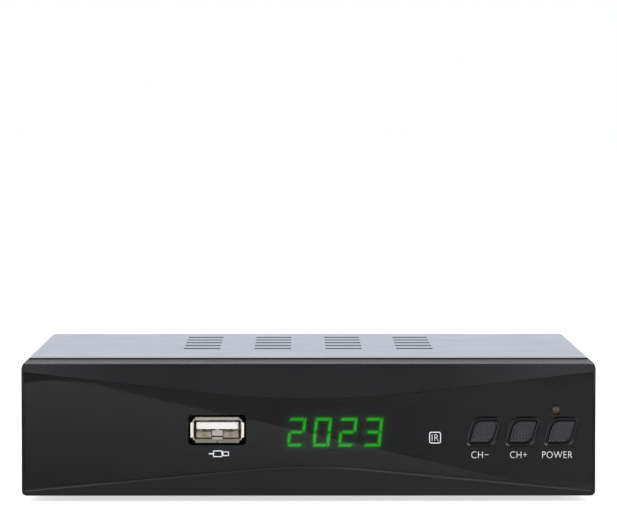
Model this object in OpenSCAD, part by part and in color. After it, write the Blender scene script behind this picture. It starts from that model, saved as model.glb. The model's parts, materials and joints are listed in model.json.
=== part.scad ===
// Digital television receiver: a low box with a moulded front, a bent sheet cover and a bent sheet
// tray that carries the boards and the rear sockets.
// X runs to the right as seen from the front, Y to the back and Z up. The feet stand on Z = 0.
// Heights of things on the front are measured from the lower edge of the front panel.

/* [Case] */
// Width of the front panel
panel_w = 152; // [144:1:170]
// Height from the lower edge of the front panel to the top of the cover
panel_h = 36.4; // [35:0.2:44]
// Depth from the foremost plane of the front to the outer face of the rear wall
case_d = 90; // [87:1:130]
// Gap between the ground and the front panel
stand_h = 1.6; // [1:0.1:3]
// Thickness of the cover and tray sheet
sheet_t = 0.8; // [0.6:0.1:1.2]
// Inside radius of every sheet bend
bend_r = 0.8; // [0.5:0.1:1.4]
// How far each side of the cover stands inside the panel
cover_inset = 0.9; // [0.5:0.1:1.6]
// Height of the tray floor above the lower edge of the panel
floor_rise = 0.8; // [0.5:0.1:1.5]
// Height of the side flanges of the tray
side_flange_h = 12; // [8:0.5:16]
// Height of the front flange of the tray
front_flange_h = 6.5; // [5.5:0.1:6.8]
// Width of each tab behind the cover
tab_w = 14; // [10:1:20]
// Height of each tab, down from the top of the cover
tab_h = 8; // [7:0.5:10]
// Distance of a tab's middle from the side of the tray
tab_side = 22.3; // [14:0.1:40]
// Diameter of a foot
foot_d = 9; // [6:0.5:12]
// Distance of a foot's centre from the side of the tray
foot_in_x = 12; // [8:1:30]
// Distance of a foot's centre from the front flange and from the rear wall
foot_in_y = 16; // [8:1:30]

/* [Vents] */
// Length of a vent slot
vent_len = 10; // [6:0.5:15]
// Width of a vent slot
vent_w = 2.9; // [1.5:0.1:4]
// Number of slot groups side by side in the cover
vent_groups = 4; // [2:1:5]
// Number of slots in a group
vent_rows = 5; // [3:1:6]
// Distance between neighbouring groups
group_pitch = 19.5; // [17:0.5:24]
// Distance between neighbouring slots of a group
row_pitch = 10.2; // [6:0.1:10.4]
// Distance from the front edge of the cover to the middle of the first slot
vent_start = 31.3; // [20:0.1:33]

/* [Front panel] */
// Depth of the sloping strip along the top of the front
slope_run = 4; // [3.6:0.1:5]
// Height that the strip falls over its depth
slope_drop = 1; // [1:0.1:2]
// How far the strip stops below the top of the cover
cover_step = 0.4; // [0.1:0.05:0.6]
// Radius of the upper corners, seen from the front
top_corner_r = 3; // [2:0.1:4]
// Radius of the lower corners, seen from the front
low_corner_r = 1.4; // [0.6:0.1:2]
// Radius of the upright front edges, seen from above
side_edge_r = 0.4; // [0.3:0.1:1.2]
// Size of the chamfer along the lower front edge
low_edge = 0.4; // [0.2:0.1:0.8]
// Whole depth of the moulding, with the lip that goes under the cover
panel_d = 7; // [6.6:0.1:8]
// Thickness of the lip
lip_t = 1.6; // [1.2:0.1:2]
// Thickness of the wall behind the window
panel_wall = 1.4; // [1:0.1:1.6]
// Width of the strip that closes each end of the window pocket
end_strip = 0.7; // [0.6:0.1:3]

/* [Centre field] */
// How far the field lies behind the foremost plane
field_depth = 0.6; // [0.5:0.05:0.8]
// Thickness of the smoked window
window_t = 1.4; // [1:0.1:1.6]
// Height of the upper crease at the sides
upper_end = 33; // [31:0.1:33.4]
// Height of the upper crease in the middle
upper_mid = 25.85; // [23.5:0.05:29]
// Half the length over which the upper crease bends
upper_bend = 27; // [10:1:40]
// Height of the lower crease at the sides
lower_end = 1.5; // [1.2:0.1:5]
// Height of the lower crease in the middle
lower_mid = 7.95; // [6:0.05:9.5]
// Half the length over which the lower crease bends
lower_bend = 14; // [6:1:30]

/* [Keys] */
// Width of a key at its middle
key_w = 5.62; // [5:0.02:6.2]
// Height of a key
key_h = 5.4; // [4.6:0.1:6]
// Lean of the key sides from upright, in degrees
key_lean = 14.7; // [0:0.1:18]
// Radius of the two round corners of a key
key_round = 2.2; // [0.5:0.1:2.4]
// Radius of the two sharp corners of a key
key_sharp = 0.25; // [0.1:0.05:0.5]
// Distance between neighbouring keys
key_pitch = 10.27; // [10:0.01:10.6]
// Distance of the last key's centre from the side of the panel
key_side = 9; // [8.6:0.02:12]
// Height of the key centres
key_z = 16.97; // [16.4:0.01:17.6]
// Width of the raised collar round a key
collar_t = 0.9; // [0.5:0.1:1]
// How far the collar stands out of the window
collar_h = 0.4; // [0.2:0.05:0.5]
// How far a key stands out of its collar
key_proud = 0.2; // [0:0.05:0.3]
// Width of the flange that holds a key behind the wall
key_flange = 0.9; // [0.7:0.05:1]
// Thickness of that flange
key_flange_t = 1.2; // [0.8:0.1:1.6]
// How far a key can be pressed
key_travel = 0.35; // [0.2:0.05:0.5]
// Side of a push switch housing
switch_w = 6; // [5.5:0.1:6.5]
// Height of a push switch housing over its board
switch_h = 3.5; // [3:0.1:4.5]
// Diameter of a switch plunger
plunger_d = 3.4; // [2.4:0.1:3.8]
// Floor left under the plunger's bore
switch_floor = 0.5; // [0.4:0.1:0.8]

/* [Power lamp] */
// Diameter of the lamp
lamp_d = 2.35; // [1.8:0.05:3]
// Distance of the lamp from the last key's centre, towards the other keys
lamp_off = 1.48; // [0:0.02:3]
// Height of the lamp
lamp_z = 22.83; // [22.6:0.01:23]
// How far the dome stands out of the window
lamp_proud = 0.55; // [0.2:0.05:0.6]
// Diameter of the lamp's flange
lamp_flange_d = 3.4; // [3:0.1:3.6]
// Thickness of the lamp's flange
lamp_flange_t = 1; // [0.6:0.1:1.5]
// Distance between the two legs of the lamp
lamp_leg_pitch = 1.6; // [1.2:0.1:1.8]
// Side of a square wire leg
leg_w = 0.5; // [0.4:0.05:0.6]

/* [Display] */
// Height of a digit
digit_h = 7.9; // [6:0.1:8.4]
// Width of a digit before it leans
digit_w = 4.3; // [3.6:0.1:4.8]
// Distance between neighbouring digits
digit_pitch = 6.78; // [6.4:0.01:7]
// Lean of the digits, in degrees
digit_slant = 5.5; // [0:0.5:10]
// Width of a segment
segment_t = 0.85; // [0.6:0.05:1]
// Gap between neighbouring segments
segment_gap = 0.1; // [0.05:0.01:0.2]
// Depth of a segment in its housing
segment_d = 0.6; // [0.4:0.1:1]
// Place of the digits across the front
digits_x = 7; // [5.5:0.1:8]
// Height of the digits' middle
digits_z = 16.65; // [16:0.05:18]
// Width of the display housing
display_w = 37; // [34:0.5:37]
// Height of the display housing
display_h = 12.6; // [11.6:0.1:13]
// Depth of the display housing
display_d = 8; // [6:0.1:9]
// Place of the housing's middle across the front
display_x = 11.3; // [10.5:0.1:11.4]
// Height of the housing's middle
display_z = 18; // [17.8:0.1:18.2]
// Air between the window and the display
display_air = 0.2; // [0.1:0.05:0.4]
// Wall of the spacer behind the display
spacer_t = 1.5; // [1:0.1:2]
// How far the spacer stands inside the edges of the display
spacer_in = 2; // [1:0.5:3]

/* [Infrared receiver] */
// Gap between the display housing and the receiver's body
infrared_off = 1.2; // [1:0.1:2.5]
// Height of the receiver's lens
infrared_z = 15.4; // [14:0.1:17]
// Width of the receiver's body
infrared_w = 5; // [4:0.1:5.4]
// Height of the receiver's body
infrared_h = 6; // [5:0.1:7]
// Thickness of the receiver's body
infrared_t = 3.4; // [2.5:0.1:4]
// Radius of the receiver's lens
infrared_lens_r = 2.2; // [1.6:0.1:2.3]
// Distance from the panel wall to the receiver's body
infrared_gap = 1.4; // [1:0.1:2]
// Distance between neighbouring legs of the receiver
infrared_leg_pitch = 1.6; // [1:0.1:1.8]

/* [Data socket] */
// Distance of the data socket's middle from the side of the panel
data_side = 51.8; // [46:0.1:56]
// Height of the data socket's middle
data_z = 17.43; // [16.5:0.01:18.5]
// Inside width of the shell
data_in_w = 12.5; // [12:0.1:13]
// Inside height of the shell
data_in_h = 5.12; // [4.8:0.02:5.4]
// Thickness of the shell
data_shell_t = 0.3; // [0.2:0.05:0.4]
// How far the lips flare outwards
data_flare = 0.65; // [0.3:0.05:0.7]
// Length of the flared lips
data_lip = 1; // [0.6:0.1:1.5]
// Part of each corner that has no lip
data_lip_in = 1; // [0.6:0.1:1.5]
// Width of the seam in the lower wall
data_seam = 0.25; // [0.1:0.05:0.4]
// Room between the lips and the cut-out
data_room = 0.45; // [0.2:0.05:0.6]
// Corner radius of the cut-out
data_corner_r = 0.8; // [0.4:0.1:1.2]
// How far the lips lie behind the field
data_sunk = 0.4; // [0.2:0.1:0.8]
// Depth of the socket from its mouth to its board
data_d = 13; // [12:0.5:15]
// Width of the tongue
data_tongue_w = 11.1; // [10.5:0.1:11.4]
// Thickness of the tongue
data_tongue_t = 1.84; // [1.6:0.02:2]
// Gap over the tongue
data_tongue_gap = 0.65; // [0.5:0.05:0.8]
// How far the tongue ends behind the mouth
data_tongue_in = 1.4; // [1:0.1:2.5]
// Thickness of the block that holds the tongue
data_block_t = 3.5; // [2.5:0.1:5]
// Width of a contact strip
data_contact_w = 1; // [0.6:0.1:1.2]
// Thickness of a contact strip
data_contact_t = 0.3; // [0.15:0.05:0.4]
// Distance of the inner contacts from the middle
data_contact_x1 = 1; // [0.8:0.05:1.2]
// Distance of the outer contacts from the middle
data_contact_x2 = 3.5; // [3:0.1:4]

/* [Boards] */
// Thickness of both boards
board_t = 1.6; // [1:0.1:2]
// Height of the spacers under the main board
standoff_h = 5; // [4:0.5:6]
// Diameter of a spacer
standoff_d = 5.5; // [5:0.1:7]
// Gap between the main board and the side flanges
board_side_gap = 2; // [1:0.5:4]
// Gap between the main board and the rear wall
board_rear_gap = 1.5; // [0.8:0.1:2.5]
// Gap between the two boards
board_gap = 7; // [6.5:0.5:9]
// Distance of the main board's screws from its sides and its front edge
board_screw_in = 5; // [4:0.5:6]
// Distance of the rear screws from the rear edge of the main board
board_screw_rear = 32; // [30:0.5:34]
// Height of the front board's lower edge
front_board_low = 7; // [6.8:0.1:7.4]
// Height of the front board
front_board_h = 24.5; // [24:0.1:26]
// Board left of the data socket
front_board_left = 5; // [4:0.1:8]
// Board right of the last key
front_board_right = 4.2; // [4:0.1:4.5]
// Distance of the bosses from the edges of the front board
boss_in = 3.2; // [3:0.1:3.4]
// Diameter of a boss
boss_d = 5.2; // [4.8:0.1:5.4]

/* [Ribbon link] */
// Place of the ribbon link across the case
link_x = 22; // [10:1:40]
// Height of the link on the front board
link_z = 20; // [18:0.5:24]
// Width of the ribbon
ribbon_w = 12.7; // [8:0.1:16]
// Thickness of the ribbon
ribbon_t = 0.9; // [0.5:0.1:1.2]
// Radius of the ribbon's bend, at its middle
ribbon_r = 4; // [3:0.1:5]
// How far a header is wider than the ribbon, on each side
header_rim = 1; // [0.6:0.1:2]
// Depth of a header across the ribbon
header_t = 5; // [4:0.1:6]
// Height of a header over its board
header_h = 5.5; // [4:0.1:6]
// Distance of the main header from the front edge of the main board
header_in = 7; // [6:0.5:12]

/* [Antenna sockets] */
// How far the antenna sockets stand out of the rear wall
antenna_reach = 9.5; // [8.6:0.1:14]
// Distance of the inlet from the side of the tray
antenna_side = 18.3; // [17.5:0.1:24]
// Distance between inlet and outlet
antenna_pitch = 16; // [14:0.5:17]
// Height of the sockets over the main board
antenna_z = 8; // [7:0.1:10]
// Diameter of the base of both sockets, where they pass the rear wall
antenna_base_d = 12.5; // [12.2:0.1:13]
// How far that base stands out of the rear wall
antenna_step = 0.5; // [0.2:0.1:1]
// Outside diameter of the inlet
antenna_in_d = 11; // [10.6:0.1:12]
// Bore of the inlet
antenna_in_bore = 9.6; // [9.5:0.05:9.8]
// Outside diameter of the outlet
antenna_out_d = 9.5; // [9.3:0.05:9.6]
// Bore of the outlet
antenna_out_bore = 8.1; // [7.6:0.1:8.5]
// Thickness of the insulators
insulator_t = 3; // [2:0.1:5]
// Outside diameter of the inlet's middle contact
inlet_contact_d = 3.4; // [3:0.1:4]
// Bore of the inlet's middle contact
inlet_contact_bore = 2.4; // [2.3:0.05:2.6]
// Diameter of the outlet's middle pin
outlet_pin_d = 2.35; // [2.2:0.05:2.4]
// How far both middle contacts end behind the mouth
contact_in = 1.2; // [0.5:0.1:3]
// Depth of the tuner can
tuner_d = 26; // [20:0.5:28]
// Height of the tuner can
tuner_h = 15; // [14.6:0.1:18]
// Wall of the tuner can
tuner_wall = 0.5; // [0.3:0.1:1]
// Can beside the antenna sockets
tuner_side = 1.8; // [1:0.1:2.5]
// Gap between the can and the rear wall
tuner_gap = 0.5; // [0.2:0.1:1]

/* [Video socket] */
// Gap between the wide socket and the video socket
video_gap = 2.3; // [1.5:0.1:3.5]
// Width of the shell
video_w = 15; // [14.6:0.1:15.4]
// Height of the shell
video_h = 5.9; // [5.6:0.1:6.4]
// Chamfer of the shell's lower corners
video_chamfer = 1.6; // [1:0.1:2]
// Wall of the shell
video_wall = 0.5; // [0.3:0.05:0.6]
// Depth of the socket
video_d = 11.5; // [10:0.5:14]
// How far the socket stands out of the rear wall
video_reach = 0.9; // [0.4:0.1:2]
// Width of the tongue
video_tongue_w = 10.8; // [10:0.1:11]
// Thickness of the tongue
video_tongue_t = 1.1; // [0.8:0.1:1.4]
// How far the tongue ends behind the mouth
video_tongue_in = 1.5; // [1:0.1:3]
// Thickness of the block that holds the tongue
video_block_t = 3; // [2:0.1:4]

/* [Wide socket] */
// Place of the wide socket across the case
wide_x = 3; // [0:0.5:4]
// Width of the wide socket
wide_w = 46; // [44:0.5:48]
// Height of the wide socket
wide_h = 15.5; // [15:0.1:18]
// Depth of the wide socket
wide_d = 17; // [15:0.5:20]
// How far the wide socket stands out of the rear wall
wide_reach = 1.5; // [0.5:0.1:3]
// Thickness of its outer wall
wide_wall = 2.4; // [1.8:0.1:2.6]
// Width of the channel round its core
wide_channel = 1.9; // [1.5:0.1:2]
// Depth of that channel
wide_channel_d = 11; // [8:0.5:12]
// Slant of the keyed corner
wide_key = 3; // [2:0.1:4]
// Number of contacts in each of the two rows
wide_contacts = 10; // [8:1:10]
// Distance between neighbouring contacts
wide_pitch = 3.2; // [3:0.05:3.3]
// Distance of each row from the middle
wide_row = 1.65; // [1.55:0.05:1.8]
// Width of a contact slot
wide_slot_w = 1.1; // [1:0.1:1.4]
// Height of a contact slot
wide_slot_h = 2.2; // [2:0.1:2.4]
// Depth of a contact slot
wide_slot_d = 8; // [6:0.5:10]
// Gap round each contact blade
wide_blade_gap = 0.3; // [0.2:0.05:0.4]
// How far a blade ends inside its slot
wide_blade_in = 1; // [0.5:0.1:2]

/* [Audio jack] */
// Distance between the power inlet and the audio jack
jack_pitch = 14.5; // [11:0.1:15.5]
// Width of the jack's body
jack_w = 10; // [10:0.1:11]
// Height of the jack's body
jack_h = 12.5; // [12.2:0.1:14]
// Depth of the jack's body
jack_d = 10; // [8:0.5:14]
// Height of the jack's axis over the board
jack_z = 7.5; // [7:0.1:8]
// Gap between the body and the rear wall
jack_gap = 0.3; // [0.2:0.1:0.8]
// How far the sleeve stands out of the rear wall
jack_reach = 8.5; // [7.5:0.1:9.4]
// Diameter of the sleeve's base, where it passes the rear wall
jack_base_d = 9.6; // [9.2:0.1:10]
// How far that base stands out of the rear wall
jack_step = 0.5; // [0.2:0.1:1]
// Outside diameter of the sleeve
jack_sleeve_d = 8.3; // [8:0.05:8.5]
// Bore of the sleeve
jack_sleeve_bore = 6.9; // [6.4:0.1:7.2]
// Outside diameter of the middle contact
jack_contact_d = 3.9; // [3.6:0.1:4.4]
// Bore of the middle contact
jack_contact_bore = 3.2; // [3.1:0.05:3.3]
// Depth of the middle contact
jack_contact_len = 9; // [8:0.1:10]

/* [Power inlet] */
// Distance of the power inlet from the side of the tray
inlet_side = 12.8; // [12:0.1:14]
// Width of the inlet
inlet_w = 9; // [8.5:0.1:10]
// Height of the inlet
inlet_h = 11; // [10.5:0.1:12]
// Depth of the inlet
inlet_d = 14; // [13:0.5:16]
// How far the inlet stands out of the rear wall
inlet_reach = 1; // [0.4:0.1:2]
// Bore of the inlet
inlet_bore = 6.3; // [6:0.1:6.5]
// Depth of the bore
inlet_bore_d = 10; // [9:0.5:11]
// Diameter of the middle pin
inlet_pin_d = 2; // [1.9:0.05:2.5]
// How far the pin ends inside the mouth
inlet_pin_in = 1; // [0.5:0.1:2]
// Height of the inlet's axis over the board
inlet_z = 6.5; // [6:0.1:6.8]

/* [Board parts] */
// Side of the processor
processor_w = 20; // [16:0.5:22]
// Height of the processor
processor_h = 1.5; // [1:0.1:2]
// Place of the processor across the case
processor_x = -8; // [-10:1:-4]
// Distance of the processor's middle from the front edge of the main board
processor_y = 28; // [26:0.5:32]
// Side of the heat sink
sink_w = 22; // [18:0.5:24]
// Height of the heat sink
sink_h = 9; // [6:0.5:12]
// Thickness of the heat sink's base
sink_base = 2; // [1:0.1:3]
// Number of fins
sink_fins = 7; // [4:1:8]
// Thickness of a fin
sink_fin_t = 1; // [0.8:0.1:1.4]
// Length of a memory chip
memory_len = 12; // [9:0.5:13]
// Width of a memory chip
memory_w = 8; // [6:0.5:9]
// Height of a memory chip
memory_h = 1.1; // [0.8:0.1:1.5]
// Distance of the first memory chip from the processor's middle
memory_off = 22; // [20:0.5:24]
// Distance between the two memory chips
memory_pitch = 13; // [11:0.5:14]
// Diameter of a capacitor
capacitor_d = 8; // [6:0.5:9]
// Height of a capacitor
capacitor_h = 12; // [9:0.5:14]
// Number of capacitors in the row
capacitors_n = 4; // [2:1:4]
// Distance between neighbouring capacitors
capacitor_pitch = 10; // [9.5:0.5:10.5]
// Distance of the row from the power inlet
capacitor_gap = 6; // [5:0.5:8]
// Side of a power coil
coil_w = 8; // [6:0.5:9]
// Height of a power coil
coil_h = 4.2; // [3:0.1:5]
// Distance between the two coils
coil_pitch = 12; // [10:0.5:14]
// Distance of the coils from the front edge of the main board
coil_y = 18; // [14:0.5:20]
// Length of the crystal
crystal_len = 11; // [9:0.5:12]
// Width of the crystal
crystal_w = 4.6; // [4:0.1:5]
// Height of the crystal
crystal_h = 3.6; // [3:0.1:4]
// Distance of the crystal from the front edge of the main board
crystal_y = 9; // [7:0.5:10]

/* [Fixings] */
// Shank diameter of the case and main board screws
screw_d = 3; // [2.5:0.1:3.2]
// Head diameter of those screws
screw_head_d = 5.4; // [5:0.1:5.8]
// Shank length of those screws
screw_len = 4.6; // [4:0.1:4.8]
// Shank diameter of the panel and front board screws
small_screw_d = 2.4; // [2:0.1:2.6]
// Head diameter of the small screws
small_head_d = 4.6; // [4:0.1:5]
// Shank length of the front board screws
small_len = 8; // [6:0.5:10]
// Shank length of the panel screws
panel_screw_len = 3.6; // [3:0.1:3.8]
// Height of every screw head
head_h = 1.7; // [1.4:0.1:2]
// Width of the cross recess
drive_w = 0.7; // [0.5:0.1:0.9]
// Depth of the cross recess
drive_d = 0.8; // [0.5:0.1:1]
// Distance of the cover screws below the top of the cover
tab_screw_drop = 5; // [4.8:0.1:6]
// Distance of the panel screws from the side of the tray
panel_screw_side = 19.3; // [16:0.1:28]
// Height of the panel screws above the tray floor's underside
panel_screw_z = 3.6; // [3.5:0.1:4]
// Diameter of the bosses for the panel screws
panel_boss_d = 4.8; // [4.6:0.1:5]

/* [Fits] */
// Running gap round everything that slides
slide_gap = 0.3; // [0.2:0.05:0.4]
// Gap round pieces that seat in one another
seat_gap = 0.05; // [0.03:0.01:0.1]
// Gap between the lip and the cover
lip_gap = 0.15; // [0.1:0.05:0.3]
// Gap round a socket in the rear wall
wall_gap = 0.4; // [0.2:0.05:0.6]
// Gap round a screw's shank
shank_gap = 0.1; // [0.05:0.05:0.2]

/* [Hidden] */
$fn = 64;
past = 1;
arc_steps = 6;
crease_steps = 24;

// Levels of the case, from the ground up
cover_top = stand_h + panel_h;
cover_under = cover_top - sheet_t;
tray_low = stand_h + floor_rise;
tray_floor = tray_low + sheet_t;
board_low = tray_floor + standoff_h;
board_top = board_low + board_t;
lip_top = cover_under - lip_gap;
face_top = cover_top - cover_step - slope_drop;

// Planes from the front to the back
front_y = -(case_d + antenna_reach) / 2;
field_y = front_y + field_depth;
pocket_y = field_y + window_t;
wall_y = pocket_y + panel_wall;
cover_front = front_y + slope_run;
lip_back = front_y + panel_d;
rear_y = front_y + case_d;
rear_in = rear_y - sheet_t;
key_face = field_y - collar_h - key_proud;
key_back = wall_y + key_flange_t;
data_mouth = field_y + data_sunk;
front_board_y = data_mouth + data_d;
front_board_back = front_board_y + board_t;
main_front = front_board_back + board_gap;
main_rear = rear_in - board_rear_gap;
display_y = pocket_y + display_air;
display_back = display_y + display_d;
infrared_y = wall_y + infrared_gap;
tuner_back = rear_in - tuner_gap;
jack_face = rear_in - jack_gap;

// Half widths of what stacks from the cover inwards
panel_half = panel_w / 2;
cover_half = panel_half - cover_inset;
tray_half = cover_half - sheet_t;
lip_half = tray_half - lip_gap;
main_half = tray_half - sheet_t - board_side_gap;
pocket_half = panel_half - end_strip;

// Places on the front
bend_out = bend_r + sheet_t;
tab_x = tray_half - tab_side;
panel_screw_x = tray_half - panel_screw_side;
key_x = panel_half - key_side - key_pitch;
lamp_x = key_x + key_pitch - lamp_off;
data_x = data_side - panel_half;
infrared_x = display_x + display_w / 2 + infrared_off + infrared_w / 2;
key_places = [key_x - key_pitch, key_x, key_x + key_pitch];
key_level = stand_h + key_z;
lamp_level = stand_h + lamp_z;
data_level = stand_h + data_z;
infrared_level = stand_h + infrared_z;
display_level = stand_h + display_z;
digits_level = stand_h + digits_z;
data_out_w = data_in_w + 2 * data_shell_t;
data_out_h = data_in_h + 2 * data_shell_t;
data_cut_w = data_out_w + 2 * (data_flare + data_room);
data_cut_h = data_out_h + 2 * (data_flare + data_room);
front_board_x0 = data_x - data_cut_w / 2 - front_board_left;
front_board_x1 = key_x + key_pitch + front_board_right;
front_board_z0 = stand_h + front_board_low;
front_board_z1 = front_board_z0 + front_board_h;
boss_places = [
    for (x = [front_board_x0 + boss_in, front_board_x1 - boss_in],
         z = [front_board_z0 + boss_in, front_board_z1 - boss_in]) [x, z]
];
panel_screw_level = tray_low + panel_screw_z;

// Places on the main board
main_screws = [
    for (x = [board_screw_in - main_half, main_half - board_screw_in],
         y = [main_front + board_screw_in, main_rear - board_screw_rear]) [x, y]
];
antenna_x = tray_half - antenna_side;
antenna_out_x = antenna_x - antenna_pitch;
antenna_level = board_top + antenna_z;
tuner_x0 = antenna_out_x - antenna_base_d / 2 - tuner_side;
tuner_x1 = antenna_x + antenna_base_d / 2 + tuner_side;
inlet_x = inlet_side - tray_half;
jack_x = inlet_x + jack_pitch;
video_x = wide_x - wide_w / 2 - video_gap - video_w / 2;
jack_level = board_top + jack_z;
inlet_level = board_top + inlet_z;
inlet_mouth = rear_y + inlet_reach;
wide_mouth = rear_y + wide_reach;
wide_level = board_top + wide_h / 2;
video_mouth = rear_y + video_reach;
link_level = stand_h + link_z;
link_back = front_board_back + header_h;
main_header_y = main_front + header_in;
main_header_top = board_top + header_h;
chip_y = main_front + processor_y;

// Which bars of each digit are lit, in the order: top, upper right, lower right, bottom, lower left,
// upper left, middle
LIT = [
    [1, 1, 0, 1, 1, 0, 1],
    [1, 1, 1, 1, 1, 1, 0],
    [1, 1, 0, 1, 1, 0, 1],
    [1, 1, 1, 1, 0, 0, 1]
];

// Shared shapes

// A box between two corners.
module block(x0, x1, y0, y1, z0, z1)
    translate([x0, y0, z0])
        cube([x1 - x0, y1 - y0, z1 - z0]);

// A flat outline in X and Z, drawn out from one Y to another.
module along_y(y0, y1)
    translate([0, y1, 0])
        rotate([90, 0, 0])
            linear_extrude(y1 - y0)
                children();

// A flat outline in Y and Z, drawn out from one X to another.
module along_x(x0, x1)
    translate([x0, 0, 0])
        rotate([90, 0, 90])
            linear_extrude(x1 - x0)
                children();

// A round bar along Y.
module rod_y(x, z, d, y0, y1)
    translate([x, y1, z])
        rotate([90, 0, 0])
            cylinder(d = d, h = y1 - y0);

// A round tube along Y.
module tube_y(x, z, d_out, d_in, y0, y1)
    difference() {
        rod_y(x, z, d_out, y0, y1);
        rod_y(x, z, d_in, y0 - past, y1 + past);
    }

// A socket barrel along Y, with a wider base up to y_base.
module barrel(x, z, d_base, d_out, d_in, y0, y_base, y1)
    difference() {
        union() {
            rod_y(x, z, d_base, y0, y_base);
            rod_y(x, z, d_out, y0, y1);
        }
        rod_y(x, z, d_in, y0 - past, y1 + past);
    }

// A rectangle with true round corners.
module round_rect(x0, x1, y0, y1, r) {
    translate([x0 + r, y0])
        square([x1 - x0 - 2 * r, y1 - y0]);
    translate([x0, y0 + r])
        square([x1 - x0, y1 - y0 - 2 * r]);
    for (x = [x0 + r, x1 - r], y = [y0 + r, y1 - r])
        translate([x, y])
            circle(r = r);
}

// Points of a rounded corner p between its neighbours a and b.
function unit(v) = v / norm(v);
function corner(a, p, b, r) =
    let(
        u = unit(a - p),
        w = unit(b - p),
        half = acos(u * w) / 2,
        c = p + r / sin(half) * unit(u + w),
        from = p + r / tan(half) * u - c,
        to = p + r / tan(half) * w - c
    )
    [for (i = [0 : arc_steps]) c + r * unit(from + (to - from) * i / arc_steps)];
function rounded(points, radii) =
    let(n = len(points))
    [for (i = [0 : n - 1])
        each corner(points[(i + n - 1) % n], points[i], points[(i + 1) % n], radii[i])];

// One quarter of a sheet bend, about its centre.
module bend(turn)
    rotate(turn)
        intersection() {
            difference() {
                circle(r = bend_out);
                circle(r = bend_r);
            }
            square(bend_out + past);
        }

// A strip of sheet from a0 to a1 whose ends are bent up to the heights h0 and h1.
module bent_strip(a0, a1, h0, h1) {
    translate([a0 + bend_out, 0])
        square([a1 - a0 - 2 * bend_out, sheet_t]);
    translate([a0, bend_out])
        square([sheet_t, h0 - bend_out]);
    translate([a1 - sheet_t, bend_out])
        square([sheet_t, h1 - bend_out]);
    translate([a0 + bend_out, bend_out])
        bend(180);
    translate([a1 - bend_out, bend_out])
        bend(270);
}

// A pan-head screw on Z, with its seat at zero and its head above.
module screw(d, head_d, length)
    difference() {
        union() {
            cylinder(d = head_d, h = head_h);
            translate([0, 0, -length])
                cylinder(d = d, h = length + head_h / 2);
        }
        for (turn = [0, 90])
            rotate(turn)
                translate([-d / 2, -drive_w / 2, head_h - drive_d])
                    cube([d, drive_w, drive_d + past]);
    }

// Vent slots in groups, cut upright through the sheet at level z.
module vent_slots(groups, first_y, z)
    for (g = [0 : groups - 1], row = [0 : vent_rows - 1])
        translate([(g - (groups - 1) / 2) * group_pitch, first_y + row * row_pitch, z - past])
            translate([-vent_len / 2, -vent_w / 2, 0])
                cube([vent_len, vent_w, sheet_t + 2 * past]);

// Outlines on the front

// Height of a crease at x: straight from the sides, with a soft bend in the middle.
function crease(x, end, mid, soft) =
    let(rise = (end - mid) / (panel_half - soft / 2), across = abs(x))
    stand_h + mid + (across > soft ? rise * (across - soft / 2) : rise * across * across / (2 * soft));
function crease_line(half, end, mid, soft, inset) = [
    [-half, crease(half, end, mid, soft) + inset],
    for (i = [0 : crease_steps])
        let(x = soft * (2 * i / crease_steps - 1)) [x, crease(x, end, mid, soft) + inset],
    [half, crease(half, end, mid, soft) + inset]
];

// The centre field between the two creases, drawn in by inset above and below.
module field_outline(half, inset) {
    low = crease_line(half, lower_end, lower_mid, lower_bend, inset);
    high = crease_line(half, upper_end, upper_mid, upper_bend, -inset);
    polygon(concat(low, [for (i = [len(high) - 1 : -1 : 0]) high[i]]));
}

// A key's leaning outline, grown by grow on every side.
module key_outline(grow) {
    high = key_h / 2 + grow;
    wide = key_w / 2 + grow / cos(key_lean);
    shift = high * tan(key_lean);
    polygon(rounded(
        [[-wide - shift, -high], [wide - shift, -high], [wide + shift, high], [shift - wide, high]],
        [key_sharp + grow, key_round + grow, key_sharp + grow, key_round + grow]
    ));
}

// A key-shaped prism at place x, between two planes.
module key_prism(x, grow, y0, y1)
    translate([x, 0, key_level])
        along_y(y0, y1)
            key_outline(grow);

// The cut-out for the data socket, through window and wall.
module data_cutout()
    along_y(front_y - past, wall_y + past)
        translate([data_x, data_level])
            round_rect(-data_cut_w / 2, data_cut_w / 2, -data_cut_h / 2, data_cut_h / 2, data_corner_r);

// The front moulding

// The face of the moulding, with its slope, its round corners and its two bands.
module panel_face()
    intersection() {
        along_y(front_y - past, cover_front)
            panel_outline();
        translate([0, 0, stand_h - past])
            linear_extrude(panel_h + 2 * past)
                panel_plan();
        along_x(-panel_half - past, panel_half + past)
            polygon([
                [front_y + low_edge, stand_h],
                [front_y, stand_h + low_edge],
                [front_y, stand_h + lower_mid],
                [field_y, stand_h + upper_mid],
                [front_y, face_top],
                [cover_front, cover_top - cover_step],
                [cover_front, stand_h]
            ]);
    }

module panel_outline() {
    low = stand_h;
    round_rect(-panel_half, panel_half, low, low + panel_h / 2, low_corner_r);
    round_rect(-panel_half, panel_half, low + panel_h / 4, cover_top, top_corner_r);
}

module panel_plan() {
    round_rect(-panel_half, panel_half, front_y, front_y + slope_run, side_edge_r);
    translate([-panel_half, front_y + slope_run / 2])
        square([panel_w, slope_run]);
}

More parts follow.
